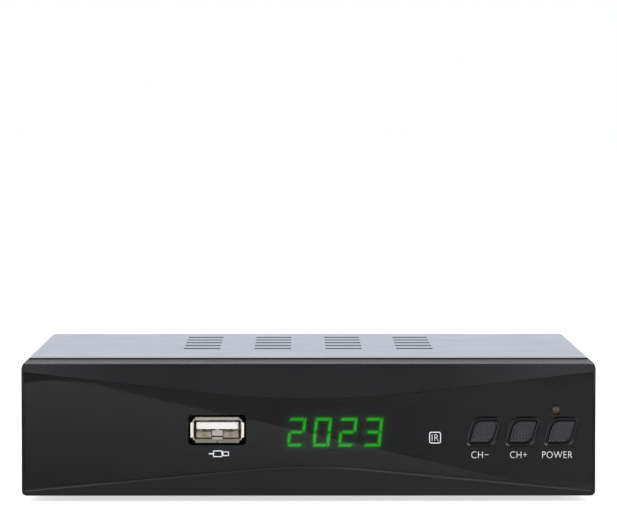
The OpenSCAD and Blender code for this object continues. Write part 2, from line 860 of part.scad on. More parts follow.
module front_panel()
    color("#232427")
        difference() {
            union() {
                difference() {
                    union() {
                        panel_face();
                        block(-lip_half, lip_half, wall_y, lip_back, stand_h, lip_top);
                    }
                    block(lip_t - lip_half, lip_half - lip_t, wall_y, lip_back + past,
                          stand_h + lip_t, lip_top - lip_t);
                    along_y(front_y - past, field_y)
                        field_outline(panel_half + past, 0);
                    intersection() {
                        along_y(field_y - past, pocket_y)
                            field_outline(panel_half + past, 0);
                        block(-pocket_half, pocket_half, field_y - 2 * past, pocket_y + past,
                              stand_h, cover_top);
                    }
                }
                for (x = key_places)
                    key_prism(x, slide_gap + collar_t, field_y - collar_h, wall_y);
                for (p = boss_places)
                    rod_y(p[0], p[1], boss_d, wall_y - panel_wall / 2, front_board_y);
                for (side = [-1, 1])
                    rod_y(side * panel_screw_x, panel_screw_level, panel_boss_d,
                          wall_y - panel_wall / 2, lip_back);
            }
            for (x = key_places)
                key_prism(x, slide_gap, front_y - past, wall_y + past);
            data_cutout();
            block(display_x - display_w / 2 - wall_gap, display_x + display_w / 2 + wall_gap,
                  pocket_y - past, wall_y + past,
                  display_level - display_h / 2 - wall_gap, display_level + display_h / 2 + wall_gap);
            rod_y(infrared_x, infrared_level, 2 * (infrared_lens_r + slide_gap),
                  pocket_y - past, wall_y + past);
            rod_y(lamp_x, lamp_level, lamp_d + 2 * seat_gap, front_y, wall_y + past);
            for (p = boss_places)
                rod_y(p[0], p[1], small_screw_d + 2 * shank_gap,
                      front_board_back - small_len - shank_gap, front_board_y + past);
            for (side = [-1, 1])
                rod_y(side * panel_screw_x, panel_screw_level, small_screw_d + 2 * shank_gap,
                      lip_back + sheet_t - panel_screw_len - shank_gap, lip_back + past);
        }

module front_window()
    color("#15161a")
        difference() {
            along_y(field_y, pocket_y)
                field_outline(pocket_half - seat_gap, seat_gap);
            for (x = key_places)
                key_prism(x, slide_gap + collar_t + seat_gap, front_y, wall_y);
            data_cutout();
            rod_y(lamp_x, lamp_level, lamp_d + 2 * seat_gap, front_y, wall_y);
        }

// The sheet case

module top_cover()
    color("#3c3d43")
        difference() {
            union() {
                along_y(cover_front, rear_y)
                    translate([0, cover_top])
                        mirror([0, 1])
                            bent_strip(-cover_half, cover_half, cover_top - tray_low, cover_top - tray_low);
                for (side = [-1, 1])
                    translate([side * tab_x, 0, 0])
                        along_x(-tab_w / 2, tab_w / 2)
                            cover_tab();
            }
            for (side = [-1, 1])
                translate([side * tab_x, 0, 0]) {
                    along_x(-tab_w / 2, tab_w / 2)
                        tab_notch();
                    rod_y(0, cover_top - tab_screw_drop, screw_d + 2 * shank_gap,
                          rear_y - past, rear_y + sheet_t + past);
                }
            vent_slots(vent_groups, cover_front + vent_start, cover_under);
        }

// A tab's section: it bends down over the outer face of the rear wall.
module cover_tab() {
    translate([rear_y, cover_top - tab_h])
        square([sheet_t, tab_h - bend_out]);
    translate([rear_y - bend_r, cover_top - bend_out])
        bend(0);
}

// What the bend of a tab takes off the straight rear edge of the cover.
module tab_notch()
    difference() {
        translate([rear_y - bend_r, cover_top - bend_out])
            square([bend_out + past, bend_out + past]);
        translate([rear_y - bend_r, cover_top - bend_out])
            circle(r = bend_out);
    }

module base_tray()
    color("#8d9196")
        difference() {
            union() {
                along_x(bend_out - tray_half, tray_half - bend_out)
                    translate([0, tray_low])
                        bent_strip(lip_back, rear_y, front_flange_h, cover_under - seat_gap - tray_low);
                block(slide_gap - tray_half, tray_half - slide_gap, rear_in, rear_y,
                      tray_floor + bend_r, cover_under - seat_gap);
                along_y(lip_back + bend_out, rear_y - bend_out)
                    translate([0, tray_low])
                        bent_strip(-tray_half, tray_half, side_flange_h, side_flange_h);
            }
            for (side = [-1, 1]) {
                block(side * tab_x - tab_w / 2 - wall_gap, side * tab_x + tab_w / 2 + wall_gap,
                      rear_in - past, rear_y + past,
                      cover_top - bend_out - wall_gap, cover_top);
                rod_y(side * tab_x, cover_top - tab_screw_drop, screw_d + 2 * shank_gap,
                      rear_in - past, rear_y + past);
                rod_y(side * panel_screw_x, panel_screw_level, small_screw_d + 2 * shank_gap,
                      lip_back - past, lip_back + sheet_t + past);
            }
            rear_cutouts();
            vent_slots(vent_groups / 2, chip_y - row_pitch * (vent_rows - 1) / 2, tray_low);
        }

// The holes that the sockets need in the rear wall.
module rear_cutouts() {
    y0 = rear_in - past;
    y1 = rear_y + past;
    for (x = [antenna_x, antenna_out_x])
        rod_y(x, antenna_level, antenna_base_d + 2 * wall_gap, y0, y1);
    rod_y(jack_x, jack_level, jack_base_d + 2 * wall_gap, y0, y1);
    block(video_x - video_w / 2 - wall_gap, video_x + video_w / 2 + wall_gap, y0, y1,
          board_top - wall_gap, board_top + video_h + wall_gap);
    block(wide_x - wide_w / 2 - wall_gap, wide_x + wide_w / 2 + wall_gap, y0, y1,
          board_top - wall_gap, board_top + wide_h + wall_gap);
    block(inlet_x - inlet_w / 2 - wall_gap, inlet_x + inlet_w / 2 + wall_gap, y0, y1,
          board_top - wall_gap, board_top + inlet_h + wall_gap);
}

module rubber_feet()
    color("#1a1a1a")
        for (side = [-1, 1], y = [lip_back + foot_in_y, rear_y - foot_in_y])
            translate([side * (tray_half - foot_in_x), y, 0])
                cylinder(d = foot_d, h = tray_low);

// Keys and their switches

module key(x)
    color("#3a3b3f") {
        key_prism(x, 0, key_face, key_back);
        key_prism(x, key_flange, wall_y, key_back);
    }

module plunger(x)
    color("#c8b48a")
        rod_y(x, key_level, plunger_d, key_back, front_board_y - switch_floor - key_travel - slide_gap);

module channel_down_key()
    key(key_places[0]);

module channel_up_key()
    key(key_places[1]);

module power_key()
    key(key_places[2]);

module channel_down_plunger()
    plunger(key_places[0]);

module channel_up_plunger()
    plunger(key_places[1]);

module power_plunger()
    plunger(key_places[2]);

module switch_housings()
    color("#2b2b2d")
        for (x = key_places)
            difference() {
                block(x - switch_w / 2, x + switch_w / 2, front_board_y - switch_h, front_board_y,
                      key_level - switch_w / 2, key_level + switch_w / 2);
                rod_y(x, key_level, plunger_d + 2 * slide_gap,
                      front_board_y - switch_h - past, front_board_y - switch_floor);
            }

// Lamp and infrared receiver

module power_lamp()
    color("#b59a86") {
        dome_y = field_y - lamp_proud + lamp_d / 2;
        intersection() {
            translate([lamp_x, dome_y, lamp_level])
                sphere(d = lamp_d);
            block(lamp_x - lamp_d, lamp_x + lamp_d, dome_y - lamp_d, dome_y,
                  lamp_level - lamp_d, lamp_level + lamp_d);
        }
        rod_y(lamp_x, lamp_level, lamp_d, dome_y, wall_y + lamp_flange_t);
        rod_y(lamp_x, lamp_level, lamp_flange_d, wall_y, wall_y + lamp_flange_t);
    }

// A row of square wire legs from a part to the front board.
module legs(x, z, y0, count, pitch)
    for (i = [0 : count - 1])
        translate([x + (i - (count - 1) / 2) * pitch, 0, z])
            block(-leg_w / 2, leg_w / 2, y0, front_board_y, -leg_w / 2, leg_w / 2);

module lamp_leads()
    color("#c9ccd0")
        legs(lamp_x, lamp_level, wall_y + lamp_flange_t, 2, lamp_leg_pitch);

module infrared_receiver()
    color("#1c1c20")
        union() {
            block(infrared_x - infrared_w / 2, infrared_x + infrared_w / 2,
                  infrared_y, infrared_y + infrared_t,
                  infrared_level - infrared_h / 2, infrared_level + infrared_h / 2);
            translate([infrared_x, infrared_y + leg_w, infrared_level])
                sphere(r = infrared_lens_r);
        }

module infrared_leads()
    color("#c9ccd0")
        legs(infrared_x, infrared_level, infrared_y + infrared_t, 3, infrared_leg_pitch);

// Clock display

// A bar with pointed ends, from a to b, before the digit leans.
function bar(a, b) =
    let(
        along = unit(b - a),
        across = [-along[1], along[0]] * segment_t / 2,
        point = along * segment_t / 2,
        start = a + along * segment_gap,
        stop = b - along * segment_gap
    )
    [
        start, start + point + across, stop - point + across,
        stop, stop - point - across, start + point - across
    ];
function leaning(points) = [for (p = points) [p[0] + p[1] * tan(digit_slant), p[1]]];
digit_x = (digit_w - segment_t) / 2;
digit_top = (digit_h - segment_t) / 2;
BARS = [
    [[-digit_x, digit_top], [digit_x, digit_top]],
    [[digit_x, 0], [digit_x, digit_top]],
    [[digit_x, -digit_top], [digit_x, 0]],
    [[-digit_x, -digit_top], [digit_x, -digit_top]],
    [[-digit_x, -digit_top], [-digit_x, 0]],
    [[-digit_x, 0], [-digit_x, digit_top]],
    [[-digit_x, 0], [digit_x, 0]]
];

// The bars of all digits whose lit state is the one asked for.
module segments(states)
    for (digit = [0 : len(LIT) - 1], i = [0 : len(BARS) - 1])
        if (len([for (s = states) if (s == LIT[digit][i]) s]) > 0)
            along_y(display_y, display_y + segment_d)
                translate([digits_x + (digit - (len(LIT) - 1) / 2) * digit_pitch, digits_level])
                    polygon(leaning(bar(BARS[i][0], BARS[i][1])));

module display_housing()
    color("#2a2422")
        difference() {
            block(display_x - display_w / 2, display_x + display_w / 2, display_y, display_back,
                  display_level - display_h / 2, display_level + display_h / 2);
            translate([0, -past, 0])
                segments([0, 1]);
            segments([0, 1]);
        }

module display_lit_segments()
    color("#18c81c")
        segments([1]);

module display_unlit_segments()
    color("#2c3a2c")
        segments([0]);

module display_spacer()
    color("#d8d8d2") {
        half_w = display_w / 2 - spacer_in;
        half_h = display_h / 2 - spacer_in;
        difference() {
            block(display_x - half_w, display_x + half_w, display_back, front_board_y,
                  display_level - half_h, display_level + half_h);
            block(display_x - half_w + spacer_t, display_x + half_w - spacer_t,
                  display_back - past, front_board_y + past,
                  display_level - half_h + spacer_t, display_level + half_h - spacer_t);
        }
    }

// Data socket on the front board

// Section of a flared lip, as distance out from the inner wall against Y.
module lip_section(root)
    polygon([
        [data_mouth + data_lip + data_shell_t, root],
        [data_mouth + data_lip + data_shell_t, root + data_shell_t],
        [data_mouth + data_lip, root + data_shell_t],
        [data_mouth, root + data_shell_t + data_flare],
        [data_mouth, root + data_flare],
        [data_mouth + data_lip, root]
    ]);

module data_socket_shell()
    color("#c6bba6")
        translate([data_x, 0, data_level]) {
            lip_x = data_in_w / 2 - data_lip_in;
            lip_z = data_in_h / 2 - data_lip_in;
            difference() {
                union() {
                    difference() {
                        block(-data_out_w / 2, data_out_w / 2, data_mouth + data_lip, front_board_y,
                              -data_out_h / 2, data_out_h / 2);
                        block(-data_in_w / 2, data_in_w / 2, data_mouth, front_board_y + past,
                              -data_in_h / 2, data_in_h / 2);
                    }
                    for (turn = [0, 180])
                        rotate([0, turn, 0])
                            along_x(-lip_x, lip_x)
                                lip_section(data_in_h / 2);
                    for (turn = [90, 270])
                        rotate([0, turn, 0])
                            along_x(-lip_z, lip_z)
                                lip_section(data_in_w / 2);
                }
                block(-data_seam / 2, data_seam / 2, data_mouth - past, front_board_y - data_block_t,
                      -data_out_h, -data_in_h / 2 + data_shell_t / 2);
            }
        }

module data_socket_tongue()
    color("#e9e7e0")
        translate([data_x, 0, data_level]) {
            block_y = front_board_y - data_block_t;
            top = data_in_h / 2 - data_tongue_gap;
            block(seat_gap - data_in_w / 2, data_in_w / 2 - seat_gap, block_y, front_board_y,
                  seat_gap - data_in_h / 2, data_in_h / 2 - seat_gap);
            block(-data_tongue_w / 2, data_tongue_w / 2, data_mouth + data_tongue_in, front_board_y,
                  top - data_tongue_t, top);
        }

module data_socket_contacts()
    color("#b98f3e")
        for (x = [-data_contact_x2, -data_contact_x1, data_contact_x1, data_contact_x2])
            translate([data_x + x, 0, data_level + data_in_h / 2 - data_tongue_gap - data_tongue_t])
                block(-data_contact_w / 2, data_contact_w / 2,
                      data_mouth + data_tongue_in, front_board_y - data_block_t,
                      -data_contact_t, 0);

// Boards and their link

module front_board()
    color("#2f6b3a")
        difference() {
            block(front_board_x0, front_board_x1, front_board_y, front_board_back,
                  front_board_z0, front_board_z1);
            for (p = boss_places)
                rod_y(p[0], p[1], small_screw_d + 2 * shank_gap,
                      front_board_y - past, front_board_back + past);
        }

module main_board()
    color("#2f6b3a")
        difference() {
            block(-main_half, main_half, main_front, main_rear, board_low, board_top);
            for (p = main_screws)
                translate([p[0], p[1], board_low - past])
                    cylinder(d = screw_d + 2 * shank_gap, h = board_t + 2 * past);
        }

module board_standoffs()
    color("#b9bcc0")
        for (p = main_screws)
            translate([p[0], p[1], tray_floor])
                difference() {
                    cylinder(d = standoff_d, h = standoff_h);
                    translate([0, 0, -past])
                        cylinder(d = screw_d + 2 * shank_gap, h = standoff_h + 2 * past);
                }

module front_header()
    color("#e6e2d6")
        block(link_x - ribbon_w / 2 - header_rim, link_x + ribbon_w / 2 + header_rim,
              front_board_back, link_back,
              link_level - header_t / 2, link_level + header_t / 2);

module main_header()
    color("#e6e2d6")
        block(link_x - ribbon_w / 2 - header_rim, link_x + ribbon_w / 2 + header_rim,
              main_header_y - header_t / 2, main_header_y + header_t / 2,
              board_top, main_header_top);

module ribbon_cable()
    color("#9a9ca0")
        along_x(link_x - ribbon_w / 2, link_x + ribbon_w / 2) {
            turn_y = main_header_y - ribbon_r;
            turn_z = link_level - ribbon_r;
            translate([link_back, link_level - ribbon_t / 2])
                square([turn_y - link_back, ribbon_t]);
            translate([main_header_y - ribbon_t / 2, main_header_top])
                square([ribbon_t, turn_z - main_header_top]);
            translate([turn_y, turn_z])
                intersection() {
                    difference() {
                        circle(r = ribbon_r + ribbon_t / 2);
                        circle(r = ribbon_r - ribbon_t / 2);
                    }
                    square(ribbon_r + ribbon_t);
                }
        }

// Tuner and antenna sockets

module tuner_can()
    color("#c3c6c9")
        difference() {
            block(tuner_x0, tuner_x1, tuner_back - tuner_d, tuner_back, board_top, board_top + tuner_h);
            block(tuner_x0 + tuner_wall, tuner_x1 - tuner_wall,
                  tuner_back - tuner_d + tuner_wall, tuner_back - tuner_wall,
                  board_top - past, board_top + tuner_h - tuner_wall);
        }

module antenna_in_shell()
    color("#cfd1d4")
        barrel(antenna_x, antenna_level, antenna_base_d, antenna_in_d, antenna_in_bore,
               tuner_back, rear_y + antenna_step, rear_y + antenna_reach);

module antenna_in_insulator()
    color("#efeee8")
        tube_y(antenna_x, antenna_level, antenna_in_bore - 2 * seat_gap, inlet_contact_d + 2 * seat_gap,
               tuner_back, tuner_back + insulator_t);

module antenna_in_contact()
    color("#c9a45a")
        tube_y(antenna_x, antenna_level, inlet_contact_d, inlet_contact_bore,
               tuner_back, rear_y + antenna_reach - contact_in);

module antenna_out_shell()
    color("#cfd1d4")
        barrel(antenna_out_x, antenna_level, antenna_base_d, antenna_out_d, antenna_out_bore,
               tuner_back, rear_y + antenna_step, rear_y + antenna_reach);

module antenna_out_insulator()
    color("#efeee8")
        tube_y(antenna_out_x, antenna_level,
               antenna_out_bore - 2 * seat_gap, outlet_pin_d + 2 * seat_gap,
               tuner_back, tuner_back + insulator_t);

module antenna_out_pin()
    color("#c9a45a")
        rod_y(antenna_out_x, antenna_level, outlet_pin_d,
              tuner_back, rear_y + antenna_reach - contact_in);

// Video socket

// Outline of the video socket, drawn in by inset, with its lower corners cut off.
module video_outline(inset) {
    half = video_w / 2 - inset;
    low = inset;
    high = video_h - inset;
    cut = video_chamfer - inset * (2 - sqrt(2));
    polygon([
        [-half, high], [half, high], [half, low + cut],
        [half - cut, low], [cut - half, low], [-half, low + cut]
    ]);
}

module video_socket_shell()
    color("#cfd1d4")
        translate([video_x, 0, board_top])
            difference() {
                along_y(video_mouth - video_d, video_mouth)
                    video_outline(0);
                along_y(video_mouth - video_d - past, video_mouth + past)
                    video_outline(video_wall);
            }

module video_socket_tongue()
    color("#1d1d1f")
        translate([video_x, 0, board_top]) {
            middle = video_h / 2;
            along_y(video_mouth - video_d, video_mouth - video_d + video_block_t)
                video_outline(video_wall + seat_gap);
            block(-video_tongue_w / 2, video_tongue_w / 2,
                  video_mouth - video_d, video_mouth - video_tongue_in,
                  middle - video_tongue_t / 2, middle + video_tongue_t / 2);
        }

// Wide audio and video socket

// Outline of the wide socket's channel or core, drawn in by inset, with one keyed corner.
module wide_outline(inset) {
    half_w = wide_w / 2 - inset;
    half_h = wide_h / 2 - inset;
    polygon([
        [-half_w, -half_h], [half_w, -half_h], [half_w, half_h - wide_key], [half_w - wide_key, half_h],
        [-half_w, half_h]
    ]);
}

// Places of the wide socket's contacts, in two rows.
wide_places = [
    for (row = [-1, 1], i = [0 : wide_contacts - 1])
        [wide_x + (i - (wide_contacts - 1) / 2) * wide_pitch, wide_level + row * wide_row]
];

module wide_socket_body()
    color("#202124")
        difference() {
            block(wide_x - wide_w / 2, wide_x + wide_w / 2, wide_mouth - wide_d, wide_mouth,
                  board_top, board_top + wide_h);
            translate([wide_x, 0, wide_level])
                difference() {
                    along_y(wide_mouth - wide_channel_d, wide_mouth + past)
                        wide_outline(wide_wall);
                    along_y(wide_mouth - wide_channel_d - past, wide_mouth + 2 * past)
                        wide_outline(wide_wall + wide_channel);
                }
            for (p = wide_places)
                block(p[0] - wide_slot_w / 2, p[0] + wide_slot_w / 2,
                      wide_mouth - wide_slot_d, wide_mouth + past,
                      p[1] - wide_slot_h / 2, p[1] + wide_slot_h / 2);
        }

module wide_socket_contacts()
    color("#c9a45a")
        for (p = wide_places)
            block(p[0] - wide_slot_w / 2 + wide_blade_gap, p[0] + wide_slot_w / 2 - wide_blade_gap,
                  wide_mouth - wide_slot_d, wide_mouth - wide_blade_in,
                  p[1] - wide_slot_h / 2 + wide_blade_gap, p[1] + wide_slot_h / 2 - wide_blade_gap);

// Audio jack

module audio_jack_body()
    color("#d9772b")
        difference() {
            union() {
                block(jack_x - jack_w / 2, jack_x + jack_w / 2, jack_face - jack_d, jack_face,
                      board_top, board_top + jack_h);
                rod_y(jack_x, jack_level, jack_sleeve_bore - 2 * seat_gap,
                      jack_face - past, rear_y + jack_reach);
            }
            rod_y(jack_x, jack_level, jack_contact_d + 2 * seat_gap,
                  rear_y + jack_reach - jack_contact_len, rear_y + jack_reach + past);
        }

module audio_jack_sleeve()
    color("#cfd1d4")
        barrel(jack_x, jack_level, jack_base_d, jack_sleeve_d, jack_sleeve_bore,
               jack_face, rear_y + jack_step, rear_y + jack_reach);

module audio_jack_contact()
    color("#c9a45a")
        tube_y(jack_x, jack_level, jack_contact_d, jack_contact_bore,
               rear_y + jack_reach - jack_contact_len, rear_y + jack_reach);

// Power inlet

module power_inlet_body()
    color("#1c1c1e")
        difference() {
            block(inlet_x - inlet_w / 2, inlet_x + inlet_w / 2, inlet_mouth - inlet_d, inlet_mouth,
                  board_top, board_top + inlet_h);
            rod_y(inlet_x, inlet_level, inlet_bore, inlet_mouth - inlet_bore_d, inlet_mouth + past);
        }

module power_inlet_pin()
    color("#cfd1d4")
        rod_y(inlet_x, inlet_level, inlet_pin_d, inlet_mouth - inlet_bore_d, inlet_mouth - inlet_pin_in);

// Parts on the main board

// A block standing on the main board about a middle point.
module on_board(x, y, width, depth, height)
    block(x - width / 2, x + width / 2, y - depth / 2, y + depth / 2, board_top, board_top + height);

module processor()
    color("#222326")
        on_board(processor_x, chip_y, processor_w, processor_w, processor_h);

module heat_sink()
    color("#b4b8bc")
        translate([processor_x, chip_y, board_top + processor_h]) {
            gap = (sink_w - sink_fin_t) / (sink_fins - 1);
            block(-sink_w / 2, sink_w / 2, -sink_w / 2, sink_w / 2, 0, sink_base);
            for (i = [0 : sink_fins - 1])
                translate([i * gap - sink_w / 2, -sink_w / 2, 0])
                    cube([sink_fin_t, sink_w, sink_h]);
        }

module memory_chips()
    color("#26272a")
        for (i = [0, 1])
            on_board(processor_x + memory_off + i * memory_pitch, chip_y, memory_w, memory_len, memory_h);

module capacitors()
    color("#2a3550")
        for (i = [0 : capacitors_n - 1])
            translate([inlet_x + i * capacitor_pitch,
                       inlet_mouth - inlet_d - capacitor_gap - capacitor_d / 2, board_top])
                cylinder(d = capacitor_d, h = capacitor_h);

module power_coils()
    color("#4a4a4d")
        for (i = [0, 1])
            on_board(inlet_x + coil_w / 2 + i * coil_pitch, main_front + coil_y, coil_w, coil_w, coil_h);

module crystal()
    color("#c9ccd0")
        on_board(processor_x, main_front + crystal_y, crystal_len, crystal_w, crystal_h);

// Fixings

module cover_screws()
    color("#2d2d30")
        for (side = [-1, 1])
            translate([side * tab_x, rear_y + sheet_t, cover_top - tab_screw_drop])
                rotate([-90, 0, 0])
                    screw(screw_d, screw_head_d, screw_len);

module panel_screws()
    color("#b9bcc0")
        for (side = [-1, 1])
            translate([side * panel_screw_x, lip_back + sheet_t, panel_screw_level])
                rotate([-90, 0, 0])
                    screw(small_screw_d, small_head_d, panel_screw_len);

module main_board_screws()
    color("#b9bcc0")
        for (p = main_screws)
            translate([p[0], p[1], board_top])
                screw(screw_d, screw_head_d, screw_len);

module front_board_screws()
    color("#b9bcc0")
        for (p = boss_places)
            translate([p[0], front_board_back, p[1]])
                rotate([-90, 0, 0])
                    screw(small_screw_d, small_head_d, small_len);

front_panel();
front_window();
top_cover();
base_tray();
rubber_feet();
channel_down_key();
channel_up_key();
power_key();
channel_down_plunger();
channel_up_plunger();
power_plunger();
switch_housings();
power_lamp();
lamp_leads();
infrared_receiver();
infrared_leads();
display_housing();
display_lit_segments();
display_unlit_segments();
display_spacer();
data_socket_shell();
data_socket_tongue();
data_socket_contacts();
front_board();
main_board();
board_standoffs();
front_header();
main_header();
ribbon_cable();
tuner_can();
antenna_in_shell();
antenna_in_insulator();
antenna_in_contact();
antenna_out_shell();
antenna_out_insulator();
antenna_out_pin();
video_socket_shell();
video_socket_tongue();
wide_socket_body();
wide_socket_contacts();
audio_jack_body();
audio_jack_sleeve();
audio_jack_contact();
power_inlet_body();
power_inlet_pin();
processor();
heat_sink();
memory_chips();
capacitors();
power_coils();
crystal();
cover_screws();
panel_screws();
main_board_screws();
front_board_screws();
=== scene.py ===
"""Looks of a digital television receiver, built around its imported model.

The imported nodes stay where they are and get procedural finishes. Pieces whose surface needs more than
the solids give, such as the knurled keys, are modelled here. Sizes are written in millimetres and
become metres when a piece is made.
"""

import json
import logging
import math
from dataclasses import dataclass, field
from enum import Enum
from functools import cached_property
from typing import Any, Iterable, Sequence

import bmesh
import bpy
from bmesh.types import BMEdge, BMFace, BMVert
from bpy.types import Material, Node, NodeSocket, NodeTree, Object
from mathutils import Matrix, Vector


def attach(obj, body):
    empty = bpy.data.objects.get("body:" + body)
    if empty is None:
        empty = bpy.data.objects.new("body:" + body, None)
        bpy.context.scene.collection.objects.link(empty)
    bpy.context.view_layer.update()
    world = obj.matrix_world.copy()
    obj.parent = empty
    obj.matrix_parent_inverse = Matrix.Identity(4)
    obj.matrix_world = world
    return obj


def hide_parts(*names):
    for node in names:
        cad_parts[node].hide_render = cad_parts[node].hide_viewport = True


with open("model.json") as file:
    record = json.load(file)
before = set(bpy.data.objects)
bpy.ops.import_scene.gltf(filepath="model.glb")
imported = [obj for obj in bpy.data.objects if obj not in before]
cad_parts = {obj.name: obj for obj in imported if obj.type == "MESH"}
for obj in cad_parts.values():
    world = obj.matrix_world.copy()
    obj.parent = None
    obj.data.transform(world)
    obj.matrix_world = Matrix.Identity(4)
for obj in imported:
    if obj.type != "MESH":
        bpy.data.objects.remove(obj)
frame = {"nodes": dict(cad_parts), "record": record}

MM = 0.001
IMAGE_WIDTH = 617
TOUCHING = 1e-6
IN_PLANE = 1e-7
FLAT = math.radians(0.5)
FACING = 0.9
KEYS_X = (46.46, 56.73, 67.0)
KEYS_Z = 18.57

Color = tuple[float, float, float]
Point = tuple[float, float]
# A span is two places in millimetres, each with the value that holds there.
Span = tuple[Point, Point]

WHITE: Color = (1.0, 1.0, 1.0)
DARK: Color = (0.0, 0.0, 0.0)
UNIT: Point = (0.0, 1.0)

log = logging.getLogger("receiver")


class Body(Enum):
    """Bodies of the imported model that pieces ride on."""

    CASE = "case"
    CHANNEL_DOWN = "channel_down"
    CHANNEL_UP = "channel_up"
    POWER = "power"


class Along(Enum):
    """Direction in which a drawn or rolled metal shows its lines."""

    X = (0.03, 1.0, 1.0)
    Y = (1.0, 0.03, 1.0)
    Z = (1.0, 1.0, 0.03)


class Graph:
    """A node tree with short ways to add and join nodes."""

    def __init__(self, tree: NodeTree) -> None:
        """Takes over a node tree."""
        self.tree = tree

    @classmethod
    def of(cls, owner: Any) -> "Graph":
        """Empties the node tree of a material or a world.

        Args:
            owner: The material or world.

        Returns:
            Its graph, with no node in it.
        """
        owner.use_nodes = True
        owner.node_tree.nodes.clear()
        return cls(owner.node_tree)

    def join(self, node: Node, inputs: dict[Any, Any]) -> None:
        """Links or sets inputs of a node.

        Args:
            node: Node whose inputs are fed.
            inputs: Sockets to link from or plain values, by the name or index of the input.
        """
        for key, value in inputs.items():
            if isinstance(value, NodeSocket):
                self.tree.links.new(value, node.inputs[key])
            else:
                node.inputs[key].default_value = value

    def add(self, kind: str, inputs: dict[Any, Any] | None = None, **settings: Any) -> Node:
        """Adds a node.

        Args:
            kind: Blender's identifier of the node.
            inputs: Values or sockets for the node's inputs, by name or index.
            settings: Attributes of the node, set before its inputs.

        Returns:
            The new node.
        """
        node = self.tree.nodes.new(kind)
        for key, value in settings.items():
            setattr(node, key, value)
        self.join(node, inputs or {})
        return node

    def group(self, tree: NodeTree, inputs: dict[str, Any]) -> Node:
        """Places a shared effect in this tree and returns its node."""
        return self.add("ShaderNodeGroup", inputs, node_tree=tree)

    def fed(self, node: Node, name: str) -> NodeSocket:
        """Returns the socket that feeds an input of a node."""
        return node.inputs[name].links[0].from_socket

    def math(self, operation: str, a: Any, b: Any = 0.0) -> NodeSocket:
        """Returns the result of a math operation on two values or sockets."""
        return self.add("ShaderNodeMath", {0: a, 1: b}, operation=operation).outputs[0]

    def spread(self, value: NodeSocket, low: float, high: float, to_low: float = 0.0,
               to_high: float = 1.0) -> NodeSocket:
        """Returns a value that goes from to_low to to_high as another goes from low to high, held beyond."""
        keys = {"Value": value, "From Min": low, "From Max": high, "To Min": to_low, "To Max": to_high}
        return self.add("ShaderNodeMapRange", keys, clamp=True).outputs["Result"]

    def along(self, place: NodeSocket, start: Point, stop: Point) -> NodeSocket:
        """Returns a value that goes from one (place in mm, value) pair to another, held beyond both."""
        return self.spread(place, start[0] * MM, stop[0] * MM, start[1], stop[1])

    def blend(self, share: NodeSocket, first: Any, second: Any) -> NodeSocket:
        """Mixes two colours.

        Args:
            share: Share of the second colour, from 0 to 1.
            first: Colour or socket at 0.
            second: Colour or socket at 1.

        Returns:
            The mixed colour.
        """
        pair = [(*tone, 1.0) if isinstance(tone, tuple) else tone for tone in (first, second)]
        keys = {0: share, 6: pair[0], 7: pair[1]}
        return self.add("ShaderNodeMix", keys, data_type="RGBA").outputs[2]

    def bump(self, height: NodeSocket, distance: float) -> NodeSocket:
        """Returns a normal bent by a height of that many millimetres."""
        keys = {"Height": height, "Distance": distance * MM, "Strength": 1.0}
        return self.add("ShaderNodeBump", keys).outputs["Normal"]

    def noise(self, place: NodeSocket, scale: Any, detail: float, roughness: float = 0.5,
              distortion: float = 0.0) -> NodeSocket:
        """Returns soft noise with that many steps a metre, as a value from 0 to 1."""
        keys = {"Vector": place, "Scale": scale, "Detail": detail, "Roughness": roughness,
                "Distortion": distortion}
        return self.add("ShaderNodeTexNoise", keys).outputs[0]

    def cells(self, place: NodeSocket, scale: Any, feature: str = "F1") -> Node:
        """Adds a pattern of cells with that many a metre and returns its node."""
        return self.add("ShaderNodeTexVoronoi", {"Vector": place, "Scale": scale}, feature=feature)

    def place(self) -> NodeSocket:
        """Returns the point on the surface in the piece's own frame."""
        return self.add("ShaderNodeTexCoord").outputs["Object"]

    def axes(self) -> Sequence[NodeSocket]:
        """Returns the point's X, Y and Z in the piece's own frame."""
        return self.add("ShaderNodeSeparateXYZ", {0: self.place()}).outputs[:3]

    def mark(self, attribute: str) -> NodeSocket:
        """Returns how strongly an attribute of the mesh marks a place, from 0 to 1."""
        return self.add("ShaderNodeAttribute", attribute_name=attribute).outputs["Fac"]


